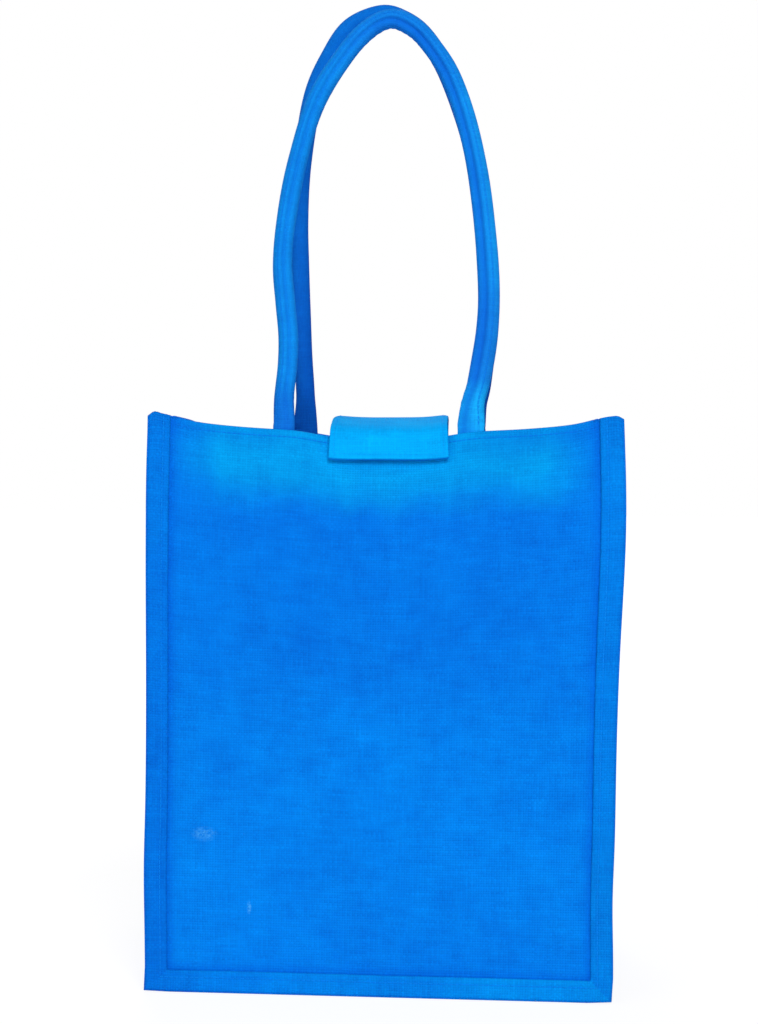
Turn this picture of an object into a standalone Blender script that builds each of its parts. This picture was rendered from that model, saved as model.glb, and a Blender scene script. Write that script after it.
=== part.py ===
# Jute tote bag: two cloth panels joined by a gusset, bound edges, a closure tab
# that bridges the mouth, and two stuffed carrying handles.
"""Every cloth piece is laid out flat and square first, as the middle surface of
the cloth, then settle() moves it to where the standing bag holds it, and a
Solidify modifier gives the cloth its thickness. Pieces that lie on each other
pass through the same settle(), so their clearances stay the same everywhere.

Axes: X across the front, Y from front (-Y) to back, Z up from the floor."""

import math

import bmesh
import bpy
from mathutils import Vector

# Sizes of the made-up bag, in metres.
WIDTH = 0.330  # over the two bound side edges
HEIGHT = 0.409  # floor to the top corners
DEPTH = 0.150  # between the inner faces of the two panels
BORDER = 0.0155  # width of the bound edge as seen from the front
HEM = 0.020  # depth of the turned-in top hem of panels and gusset

# Cloth.
CLOTH = 0.0014  # woven jute of panels, gusset and tab
BINDING_CLOTH = 0.0011  # strip folded round the seams
PATCH = 0.0012  # hook or loop fastener tape
GAP = 0.0003  # clearance between pieces that lie on each other
ROLL = 0.0013  # radius of the binding's two edges, flat between them
HEM_GAP = 0.0008  # between the two leaves of a folded hem

# How the standing bag takes its shape.
PINCH = 0.026  # each panel leans in by this much at the middle of the mouth
LEAN_FROM = 0.50  # share of the height where the lean begins
DIP = 0.0108  # drop of the mouth edge between its corners
TAB_DIP = 0.0055  # further drop where the tab pulls the edge down
SIDE_TUCK = 0.006  # gusset drawn in at the mouth
SIDE_BULGE = 0.0035  # right edge pushed out below its top corner
SAG = 0.008  # bottom of the gusset hanging between the panels

# Closure tab.
TAB_X = 0.0040  # the tab sits a little right of the middle
TAB_WIDTH = 0.083
TAB_CLOTH = 2 * CLOTH  # two layers sewn together
TAB_FRONT = 0.0160  # how far it reaches below the mouth edge at the front
TAB_BACK = 0.020  # how far it is sewn down inside the back hem
TAB_RISE = 0.0150  # height of its arch over the mouth edge
TAB_DROOP = 0.0030  # its long edges hang lower than its middle
PATCH_WIDTH = 0.050
PATCH_HEIGHT = 0.012

# Handles.
HANDLE = 0.0142  # diameter of the stuffed tube
END_WIDTH = 0.0175  # flattened end, sewn inside the hem
END_THICK = 0.0045
TUCK = 0.020  # length of the end below the mouth edge
ROUND_BY = 0.030  # the end has become round this far above the edge
HANDLE_GAP = 0.0150  # between the two tubes' middles where they lean together

# Middle line of each handle above the mouth, as X and Z, from left foot to right foot.
FRONT_FEET = (-0.0691, 0.0626)
FRONT_LOOP = [
    (-0.0703, 0.4220),
    (-0.0706, 0.4600),
    (-0.0738, 0.5110),
    (-0.0733, 0.5500),
    (-0.0661, 0.5940),
    (-0.0529, 0.6380),
    (-0.0324, 0.6720),
    (-0.0165, 0.6890),
    (-0.0010, 0.6965),
    (0.0128, 0.6930),
    (0.0262, 0.6820),
    (0.0432, 0.6560),
    (0.0598, 0.6150),
    (0.0694, 0.5640),
    (0.0740, 0.5090),
    (0.0736, 0.4720),
    (0.0688, 0.4360),
    (0.0650, 0.4190),
]
BACK_FEET = (-0.0650, 0.0645)
BACK_LOOP = [
    (-0.0654, 0.4240),
    (-0.0682, 0.4640),
    (-0.0696, 0.5180),
    (-0.0695, 0.5560),
    (-0.0668, 0.6000),
    (-0.0580, 0.6490),
    (-0.0448, 0.6780),
    (-0.0300, 0.6970),
    (-0.0080, 0.7070),
    (0.0090, 0.7055),
    (0.0250, 0.6945),
    (0.0420, 0.6680),
    (0.0590, 0.6230),
    (0.0690, 0.5680),
    (0.0736, 0.5110),
    (0.0738, 0.4720),
    (0.0702, 0.4360),
    (0.0668, 0.4200),
]

# Positions that follow from the sizes above.
LAYERS_FROM = DEPTH / 2 - 0.008  # layers farther out than this move together
FOLD = (2 * CLOTH + 3 * GAP + BINDING_CLOTH) / 2  # half the binding's folded width
RAW_X = WIDTH / 2 - BINDING_CLOTH / 2 - ROLL  # raw edges inside the side binding
RAW_Z = BINDING_CLOTH / 2 + ROLL  # raw edges inside the bottom binding
PANEL_Y = DEPTH / 2 + CLOTH / 2
FLANGE_Y = DEPTH / 2 - GAP - CLOTH / 2
WEB_X = WIDTH / 2 - BORDER - CLOTH / 2  # gusset between the panels, side
WEB_Z = BORDER + CLOTH / 2  # and bottom
FLANGE = RAW_X - WEB_X
BEND = 0.002  # radius where the gusset turns into its seam flange
CORNER = 0.008  # radius of the gusset's bottom corners
TURN = (CLOTH + HEM_GAP) / 2  # radius of a hem's fold
TOP = HEIGHT - TURN - CLOTH / 2  # where the hem's fold begins
HEM_X = WEB_X - 1.5 * CLOTH - HEM_GAP - 3 * GAP  # hems are clipped clear of the gusset
HEM_FACE = PANEL_Y - 1.5 * CLOTH - HEM_GAP  # inner face of the panel's hem
LOOP_Y = DEPTH / 2 + CLOTH + GAP + PATCH / 2
HOOK_Y = LOOP_Y + PATCH + GAP
TAB_Y = HOOK_Y + PATCH / 2 + GAP + TAB_CLOTH / 2
TAB_IN_Y = HEM_FACE - GAP - TAB_CLOTH / 2
END_Y = HEM_FACE - GAP - END_THICK / 2

# Heights at which every upright piece has a row of points, closer where it leans,
# so that layers on each other bend alike.
LEVELS = [0.045, 0.090, 0.135, 0.175]
LEVELS += [0.205 + (TOP - HEM - 0.205) * i / 9 for i in range(10)]
LEVELS += [TOP - HEM / 2, TOP]


def settle(x, y, z):
    """Moves a point of the square bag to its place in the standing bag."""
    u = x / (WIDTH / 2)
    v = z / HEIGHT
    w = math.copysign(min(1.0, abs(y) / LAYERS_FROM), y)
    across = max(0.0, 1 - u * u)
    between = max(0.0, 1 - w * w)
    rise = max(0.0, (v - LEAN_FROM) / (1 - LEAN_FROM))
    lean = rise * rise if rise < 1 else 2 * rise - 1
    drop = min(v, 1.0) ** 2
    dip = DIP * max(0.0, 1 - abs(u) ** 3) + TAB_DIP * math.exp(-((u / 0.31) ** 4))
    tuck = SIDE_TUCK * min(1.0, abs(u) / 0.87) ** 4 * between * min(rise, 1.0) ** 2
    bulge = SIDE_BULGE * max(0.0, u) ** 3 * math.exp(-(((v - 0.84) / 0.20) ** 2))
    sag = SAG * across * between * max(0.0, 1 - v) ** 12
    side = 1 if x > 0 else -1
    return Vector(
        (x - side * tuck + bulge, y - w * PINCH * across * lean, z - dip * drop - sag)
    )


def spread(start, end, parts):
    """Evenly spaced values from start to end."""
    return [start + (end - start) * i / parts for i in range(parts + 1)]


def material(name, colour):
    found = bpy.data.materials.new(name)
    found.use_nodes = True
    shader = found.node_tree.nodes["Principled BSDF"]
    shader.inputs["Base Color"].default_value = (*colour, 1)
    shader.inputs["Roughness"].default_value = 0.9
    return found


def new_object(name, points, faces, colour, smooth=True):
    mesh = bpy.data.meshes.new(name)
    mesh.from_pydata([tuple(p) for p in points], [], faces)
    work = bmesh.new()
    work.from_mesh(mesh)
    loose = [v for v in work.verts if not v.link_faces]
    bmesh.ops.delete(work, geom=loose, context="VERTS")
    bmesh.ops.recalc_face_normals(work, faces=work.faces)
    work.to_mesh(mesh)
    work.free()
    for face in mesh.polygons:
        face.use_smooth = smooth
    made = bpy.data.objects.new(name, mesh)
    bpy.context.scene.collection.objects.link(made)
    mesh.materials.append(material(name, colour))
    return made


def cloth(name, rows, thickness, colour, keep=None):
    """A cloth piece from rows of points on its middle surface.

    keep(row, column) tells whether the cell after that row and column is cloth."""
    wide = len(rows[0])
    points = [settle(*p) for row in rows for p in row]
    faces = []
    for i in range(len(rows) - 1):
        for j in range(wide - 1):
            if keep is None or keep(i, j):
                a = i * wide + j
                faces.append((a, a + 1, a + wide + 1, a + wide))
    made = new_object(name, points, faces, colour)
    solid = made.modifiers.new("Thickness", "SOLIDIFY")
    solid.thickness = thickness
    solid.offset = 0
    solid.use_even_offset = True
    solid.use_quality_normals = True
    return made


def panel(name, front, colour):
    """Front or back cloth with its top hem folded to the inside."""
    facing = -1 if front else 1
    middle = (RAW_X + HEM_X) / 2
    half = [*spread(0, HEM_X, 7)[1:], HEM_X + 0.0008, middle, RAW_X]
    columns = [-x for x in half[::-1]] + [0.0] + half
    profile = [(PANEL_Y, z) for z in (RAW_Z, *LEVELS)]
    flat_cells = len(profile) - 1
    for turn in spread(0, math.pi, 6)[1:]:
        profile.append((PANEL_Y - TURN + TURN * math.cos(turn), TOP + TURN * math.sin(turn)))
    profile += [(PANEL_Y - 2 * TURN, z) for z in (TOP - HEM / 2, TOP - HEM)]
    rows = [[(x, facing * y, z) for x in columns] for y, z in profile]
    last = len(columns) - 1
    return cloth(
        name, rows, CLOTH, colour, lambda i, j: i < flat_cells or 3 <= j < last - 3
    )


def around(reach, parts_bottom=10):
    """Points in X and Z at a distance outside the gusset's web, down the left
    side, along the bottom and up the right side. The web has round corners and
    the raw edge of the flange has square ones."""
    centre_x = WEB_X - CORNER
    centre_z = WEB_Z + CORNER
    line = [(-(WEB_X + reach), z) for z in (*LEVELS[::-1], centre_z)]
    for side in (-1, 1):
        turns = spread(0, math.pi / 2, 4)[1:] if side < 0 else spread(math.pi / 2, 0, 4)[1:-1]
        for turn in turns:
            square = (CORNER + FLANGE) / max(math.cos(turn), math.sin(turn))
            far = CORNER + reach / FLANGE * (square - CORNER)
            line.append((side * (centre_x + far * math.cos(turn)), centre_z - far * math.sin(turn)))
        if side < 0:
            line += [(x, WEB_Z - reach) for x in spread(-centre_x, centre_x, parts_bottom)[1:]]
    line.append((WEB_X + reach, centre_z))
    line += [(WEB_X + reach, z) for z in LEVELS]
    return line


def gusset(name, colour):
    """One strip down a side, along the bottom and up the other side, with its
    edges turned outward against the panels and a hem at each top end."""
    section = [(FLANGE * part, -FLANGE_Y) for part in (1.0, 0.55)]
    for turn in spread(0, math.pi / 2, 2):
        section.append((BEND * (1 - math.sin(turn)), -FLANGE_Y + BEND * (1 - math.cos(turn))))
    web_start = len(section) - 1
    clipped = FLANGE_Y - BEND - 0.0008
    section += [(0, y) for y in spread(-clipped, clipped, 6)]
    section += [(reach, -y) for reach, y in reversed(section[: web_start + 1])]
    paths = [around(reach) for reach, y in section]
    strip = [
        [(path[i][0], y, path[i][1]) for path, (reach, y) in zip(paths, section)]
        for i in range(len(paths[0]))
    ]
    hems = []
    for side in (-1, 1):
        hem = []
        for turn in spread(0, math.pi, 5)[1:]:
            inward = WEB_X - TURN + TURN * math.cos(turn)
            hem.append([(side * inward, y, TOP + TURN * math.sin(turn)) for reach, y in section])
        for z in (TOP - HEM / 2, TOP - HEM):
            hem.append([(side * (WEB_X - 2 * TURN), y, z) for reach, y in section])
        hems.append(hem)
    rows = hems[0][::-1] + strip + hems[1]
    first = len(hems[0])
    last = first + len(strip) - 1

    def keep(i, j):
        in_strip = first <= i < last
        return in_strip or web_start + 1 <= j < len(section) - web_start - 2

    return cloth(name, rows, CLOTH, colour, keep)


def binding(name, front, colour):
    """Strip folded round the raw edges of a panel and the gusset's flange,
    mitred at the two bottom corners."""
    facing = -1 if front else 1
    outer_y = DEPTH / 2 + CLOTH + GAP + BINDING_CLOTH / 2
    inner_y = outer_y - 2 * FOLD
    edge = FLANGE
    section = [(reach, outer_y) for reach in (0.0005, edge * 0.5)]
    for corner_y, start in ((outer_y - ROLL, 0), (inner_y + ROLL, math.pi / 2)):
        for turn in spread(start, start + math.pi / 2, 2):
            section.append((edge + ROLL * math.sin(turn), corner_y + ROLL * math.cos(turn)))
    section += [(reach, inner_y) for reach in (edge * 0.6, BEND + CLOTH)]
    rows = []
    heights = [WEB_Z + 0.004, *LEVELS, HEIGHT - 0.0002]
    for z in heights[::-1]:
        rows.append([(-(WEB_X + reach), facing * y, z) for reach, y in section])
    rows.append([(-(WEB_X + reach), facing * y, WEB_Z - reach) for reach, y in section])
    for x in spread(-(WEB_X - 0.004), WEB_X - 0.004, 10):
        rows.append([(x, facing * y, WEB_Z - reach) for reach, y in section])
    rows.append([(WEB_X + reach, facing * y, WEB_Z - reach) for reach, y in section])
    for z in heights:
        rows.append([(WEB_X + reach, facing * y, z) for reach, y in section])
    return cloth(name, rows, BINDING_CLOTH, colour)


def smooth_line(points, spacing):
    """Points at even spacing on a smooth curve through the given ones."""
    ends = [2 * points[0] - points[1], *points, 2 * points[-1] - points[-2]]
    fine = []
    for a, b, c, d in zip(ends, ends[1:], ends[2:], ends[3:]):
        for step in range(12):
            t = step / 12
            fine.append(
                0.5 * (2 * b + t * (c - a) + t * t * (2 * a - 5 * b + 4 * c - d))
                + 0.5 * t**3 * (3 * b - a - 3 * c + d)
            )
    fine.append(points[-1])
    total = sum((q - p).length for p, q in zip(fine, fine[1:]))
    parts = max(2, round(total / spacing))
    line = [fine[0]]
    walked = 0.0
    for p, q in zip(fine, fine[1:]):
        step = (q - p).length
        while len(line) < parts and walked + step >= total * len(line) / parts:
            line.append(p.lerp(q, (total * len(line) / parts - walked) / step))
        walked += step
    line.append(fine[-1])
    return line


def closure_tab(name, colour):
    """Two-layer tab from inside the back hem, over the mouth, onto the front."""
    over = [
        (TAB_IN_Y, -TAB_BACK),
        (TAB_IN_Y, -0.006),
        (TAB_IN_Y - 0.001, 0.0055),
        (TAB_IN_Y - 0.010, 0.0115),
        (0.030, TAB_RISE - 0.0010),
        (-0.008, TAB_RISE),
        (-0.045, TAB_RISE - 0.0018),
        (-0.068, TAB_RISE - 0.0050),
        (-TAB_Y + 0.0020, 0.0050),
        (-TAB_Y, -0.002),
        (-TAB_Y, -TAB_FRONT),
    ]
    line = smooth_line([Vector((0, y, HEIGHT + z)) for y, z in over], 0.0075)
    rows = []
    for point in line:
        free = max(0.0, min(1.0, (point.z - HEIGHT) / TAB_RISE))
        row = []
        for side in (-1, -0.92, -0.76, -0.4, 0, 0.4, 0.76, 0.92, 1):
            droop = TAB_DROOP * free * abs(side) ** 8
            row.append((TAB_X + side * TAB_WIDTH / 2, point.y, point.z - droop))
        rows.append(row)
    return cloth(name, rows, TAB_CLOTH, colour)


def patch(name, y, colour):
    """Fastener tape between the tab and the front panel."""
    top = HEIGHT - 0.0030
    rows = [
        [(TAB_X + x, -y, z) for x in spread(-PATCH_WIDTH / 2, PATCH_WIDTH / 2, 8)]
        for z in spread(top - PATCH_HEIGHT, top, 3)
    ]
    return cloth(name, rows, PATCH, colour)


def ring(width, thick, squareness, parts=12):
    """Outline of the handle's section: round, or flattened when squareness is more than 2."""
    outline = []
    for turn in range(parts):
        c = math.cos(2 * math.pi * turn / parts)
        s = math.sin(2 * math.pi * turn / parts)
        power = 2 / squareness
        outline.append(
            (
                math.copysign(abs(c) ** power, c) * width / 2,
                math.copysign(abs(s) ** power, s) * thick / 2,
            )
        )
    return outline


def section_at(height):
    """Section of a handle at a height above the mouth edge."""
    part = max(0.0, min(1.0, height / ROUND_BY))
    part = part * part * (3 - 2 * part)
    return ring(
        END_WIDTH + (HANDLE - END_WIDTH) * part,
        END_THICK + (HANDLE - END_THICK) * part,
        3.2 - 1.2 * part,
    )


def handle(name, front, feet, loop, colour):
    """Stuffed cloth tube whose flattened ends are sewn inside a panel's hem."""
    facing = -1 if front else 1
    base_y = abs(settle(feet[0], facing * END_Y, HEIGHT).y)
    base_z = settle(feet[0], facing * END_Y, HEIGHT).z
    crest = max(z for x, z in loop)
    rings = []
    for x in feet:
        foot = []
        for low in (-TUCK, -0.6 * TUCK, -0.2 * TUCK, 0.0012, 0.0050):
            foot.append(
                [
                    settle(x + wide, facing * END_Y + thick, HEIGHT + low)
                    for wide, thick in section_at(low)
                ]
            )
        rings.append(foot)
    line = [settle(feet[0], facing * END_Y, HEIGHT + 0.0050)]
    for x, z in loop:
        share = (z - base_z) / (crest - base_z)
        line.append(Vector((x, facing * (base_y + (HANDLE_GAP / 2 - base_y) * share), z)))
    line.append(settle(feet[1], facing * END_Y, HEIGHT + 0.0050))
    line = smooth_line(line, 0.0140)
    ends = (line[0].z - 0.0050, line[-1].z - 0.0050)
    out_of_loop = Vector((0, 1, 0))
    free = []
    for i in range(1, len(line) - 1):
        along = (line[i + 1] - line[i - 1]).normalized()
        wide = along.cross(out_of_loop).normalized()
        thick = wide.cross(along).normalized()
        left = i < len(line) / 2
        outline = section_at(line[i].z - ends[0 if left else 1])
        free.append([line[i] - wide * a + thick * b for a, b in outline])
    # On the way down the loop the tube is turned over, so its rings run the other way.
    parts = len(free[0])
    flipped = [
        [ring_points[(parts // 2 - k) % parts] for k in range(parts)] for ring_points in rings[1]
    ]
    every = rings[0] + free + flipped[::-1]
    points = [p for ring_points in every for p in ring_points]
    faces = []
    for i in range(len(every) - 1):
        for k in range(parts):
            a = i * parts + k
            b = i * parts + (k + 1) % parts
            faces.append((a, b, b + parts, a + parts))
    last = (len(every) - 1) * parts
    faces.append(tuple(range(parts))[::-1])
    faces.append(tuple(last + k for k in range(parts)))
    return new_object(name, points, faces, colour)


def build():
    for old in list(bpy.data.objects):
        bpy.data.objects.remove(old, do_unlink=True)
    jute = (0.008, 0.20, 0.80)
    jute_dark = (0.007, 0.17, 0.72)
    tab_blue = (0.010, 0.34, 0.90)
    handle_blue = (0.010, 0.23, 0.75)
    tape = (0.006, 0.15, 0.60)
    panel("front_panel", True, jute)
    panel("back_panel", False, jute)
    gusset("gusset", jute_dark)
    binding("front_binding", True, jute_dark)
    binding("back_binding", False, jute_dark)
    closure_tab("closure_tab", tab_blue)
    patch("loop_patch", LOOP_Y, tape)
    patch("hook_patch", HOOK_Y, tape)
    handle("front_handle", True, FRONT_FEET, FRONT_LOOP, handle_blue)
    handle("back_handle", False, BACK_FEET, BACK_LOOP, handle_blue)


build()
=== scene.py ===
"""Jute tote bag with a closure tab and two stuffed handles, dressed over its frame.

The cloth is laid out square as middle surfaces, as in the frame's own solids, and
Shape.settle() moves each point to where the standing bag holds it. Finer grids, slack,
laps, sewn threads and woven materials are added here. Lengths are metres, the front
faces -Y, and the floor is Z = 0."""

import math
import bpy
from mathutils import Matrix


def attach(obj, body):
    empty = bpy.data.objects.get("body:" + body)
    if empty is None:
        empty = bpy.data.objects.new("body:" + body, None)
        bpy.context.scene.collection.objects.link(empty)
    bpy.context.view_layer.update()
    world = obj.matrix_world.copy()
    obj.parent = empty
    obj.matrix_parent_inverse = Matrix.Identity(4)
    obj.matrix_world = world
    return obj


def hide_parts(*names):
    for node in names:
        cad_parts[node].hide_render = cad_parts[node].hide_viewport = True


bl_info = {
    "name": "Jute tote bag",
    "version": (1, 0, 0),
    "blender": (4, 5, 0),
    "location": "3D View > Sidebar > Tote",
    "description": "Builds the cloth, seams, handles and stage of a jute tote bag",
    "category": "Object",
}

import bmesh
import bpy
import numpy as np
from bpy.props import FloatProperty, FloatVectorProperty, PointerProperty
from mathutils import Matrix, Vector

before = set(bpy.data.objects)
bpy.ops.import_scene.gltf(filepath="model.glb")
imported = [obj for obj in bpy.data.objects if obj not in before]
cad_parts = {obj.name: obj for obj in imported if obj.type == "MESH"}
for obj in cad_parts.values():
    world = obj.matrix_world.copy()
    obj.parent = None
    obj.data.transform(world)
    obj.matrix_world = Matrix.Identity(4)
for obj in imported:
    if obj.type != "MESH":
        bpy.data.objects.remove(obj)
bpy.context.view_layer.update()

CLOTH_UV = "cloth"
WAVE_COUNT = 7
WAVE_SUM = 2.6  # About what that many waves add up to.

# Factor that a whole band of painted light puts on the dye's red, factors that a line's
# painted shade puts on the dye, and the colour of a rubbed place.
LIGHT_BAND_RED = 1.2
LINE_SHADE_DYE = (0.4, 0.4, 0.8)
RUBBED_COLOUR = (0.09, 0.48, 0.95, 1)

# Colours of the sewing threads and of the fastener tape.
PLAIN_THREAD = (0.0, 0.235, 0.86)
BINDING_THREAD = (0.0, 0.29, 0.90)
TAB_THREAD = (0.0, 0.43, 0.94)
TAPE_DYE = (0.006, 0.15, 0.60)

# Rings of one stitch: places along its thread from 0 to 1, and heights and thicknesses as
# shares of the thread's radius. The thread begins after a gap and spans a part of the
# stitch's length.
STITCH_STEPS = np.array([0.0, 0.12, 0.35, 0.65, 0.88, 1.0])
STITCH_LIFT = np.array([-1.3, 0.05, 0.62, 0.62, 0.05, -1.3])
STITCH_THICK = np.array([0.7, 0.95, 1.0, 1.0, 0.95, 0.7])
STITCH_SIDES = 6
STITCH_SPAN = (0.07, 0.86)
THREAD_RADIUS = 0.00024

# Middle line of each handle above the mouth, as X and Z, from left foot to right foot.
FRONT_FEET = (-0.0691, 0.0626)
FRONT_LOOP = [
    (-0.0718, 0.4220), (-0.0698, 0.4450), (-0.0697, 0.4660), (-0.0722, 0.4900),
    (-0.0750, 0.5190), (-0.0731, 0.5500), (-0.0657, 0.5940), (-0.0529, 0.6380),
    (-0.0324, 0.6728), (-0.0165, 0.6908), (-0.0010, 0.6990), (0.0128, 0.6954),
    (0.0268, 0.6836), (0.0446, 0.6562), (0.0586, 0.6150), (0.0681, 0.5640),
    (0.0734, 0.5090), (0.0729, 0.4720), (0.0675, 0.4360), (0.0631, 0.4190),
]
BACK_FEET = (-0.0650, 0.0645)
BACK_LOOP = [
    (-0.0654, 0.4240), (-0.0672, 0.4640), (-0.0690, 0.5180), (-0.0695, 0.5560),
    (-0.0668, 0.6000), (-0.0580, 0.6484), (-0.0448, 0.6772), (-0.0300, 0.6968),
    (-0.0080, 0.7058), (0.0080, 0.7024), (0.0245, 0.6908), (0.0415, 0.6652),
    (0.0580, 0.6220), (0.0685, 0.5680), (0.0736, 0.5110), (0.0738, 0.4720),
    (0.0702, 0.4360), (0.0668, 0.4200),
]

# Where rings lie on a handle's flattened ends, as shares of their depth in the hem.
FOOT_RINGS = np.array([-1.0, -0.85, -0.7, -0.5, -0.3, -0.1, 0.03, 0.12])
HANDLE_PITCH = 0.00125

# The camera that was fitted to the photograph: degrees of turn, tilt and roll, and its
# place along X, away from the bag's front and up.
CAMERA_TURNS = (3.14, 2.34, 0.47)
CAMERA_PLACE = (0.059, 1.1, 0.387)
CAMERA_LENS = 55.83
# Name, place, target, size and power of each lamp.
LAMPS = (
    ("Key", (0.60, -2.3, 1.8), (0, 0, 0.25), 1.1, 46),
    ("Fill", (-1.8, -1.6, 1.2), (0, 0, 0.30), 1.5, 9),
    ("Back", (-0.5, 2.4, 2.0), (0, 0, 0.25), 1.6, 27),
)


def length(name, default, description):
    return FloatProperty(
        name=name, default=default, description=description, min=0.0, unit="LENGTH", precision=4
    )


def colour(name, default, description):
    return FloatVectorProperty(
        name=name, default=default, description=description, subtype="COLOR", min=0, max=1
    )


class ToteSettings(bpy.types.PropertyGroup):
    """Sizes and colours of the bag."""

    width: length("Width", 0.330, "Over the two bound side edges")
    height: length("Height", 0.409, "Floor to the top corners")
    depth: length("Depth", 0.150, "Between the inner faces of the two panels")
    border: length("Border", 0.0155, "Width of the bound edge as seen from the front")
    hem: length("Hem", 0.020, "Depth of the turned-in top hem")
    cloth: length("Cloth", 0.0014, "Thickness of the woven jute")
    strip: length("Strip", 0.0011, "Thickness of the binding strip")
    tape: length("Tape", 0.0012, "Thickness of the hook or loop tape")
    gap: length("Gap", 0.0003, "Clearance between pieces that lie on each other")
    pinch: length("Pinch", 0.026, "How far each panel leans in at the middle of the mouth")
    dip: length("Dip", 0.0108, "Drop of the mouth edge between its corners")
    tab_width: length("Tab width", 0.083, "Width of the closure tab")
    tab_front: length("Tab drop", 0.016, "How far the tab reaches below the mouth edge")
    handle: length("Handle", 0.0142, "Diameter of the stuffed handle")
    pitch: length("Weave pitch", 0.0018, "Width of one thread of the weave")
    stitch: length("Stitch", 0.0036, "Length of one stitch with its gap")
    panel_colour: colour("Panel", (0.0, 0.180, 0.77), "Dye of the panels and gusset")
    binding_colour: colour("Binding", (0.0, 0.205, 0.78), "Dye of the bindings")
    # The tab's colour is lighter than the panels': painted light on its upward face.
    tab_colour: colour("Tab", (0.0, 0.40, 0.93), "Dye of the closure tab")
    handle_colour: colour("Front handle", (0.004, 0.25, 0.79), "Dye of the front handle")
    # The back handle's colour is darker than the front's: painted shade.
    shaded_colour: colour("Back handle", (0.002, 0.162, 0.66), "Dye of the back handle")


def spread(start, end, step):
    """Evenly spaced values from start to end, about step apart."""
    return np.linspace(start, end, max(2, round(abs(end - start) / step) + 1))


def waves(points, seed, size, amount):
    """Smooth pseudo-random field over 3-D points: a sum of fixed waves about size long."""
    dice = np.random.default_rng(seed)
    total = np.zeros(len(points))
    for _ in range(WAVE_COUNT):
        way = dice.normal(size=3)
        way *= 2 * math.pi / (size * dice.uniform(0.75, 1.6)) / np.linalg.norm(way)
        total += np.sin(points @ way + dice.uniform(0, 2 * math.pi))
    return amount * total / WAVE_SUM


def bell(value, at, size):
    """1 at one value, falling softly to 0 on both sides of it."""
    return np.exp(-(((value - at) / size) ** 2))


def eased(share):
    """0 to 1 with a soft start and end."""
    return share * share * (3 - 2 * share)


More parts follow.
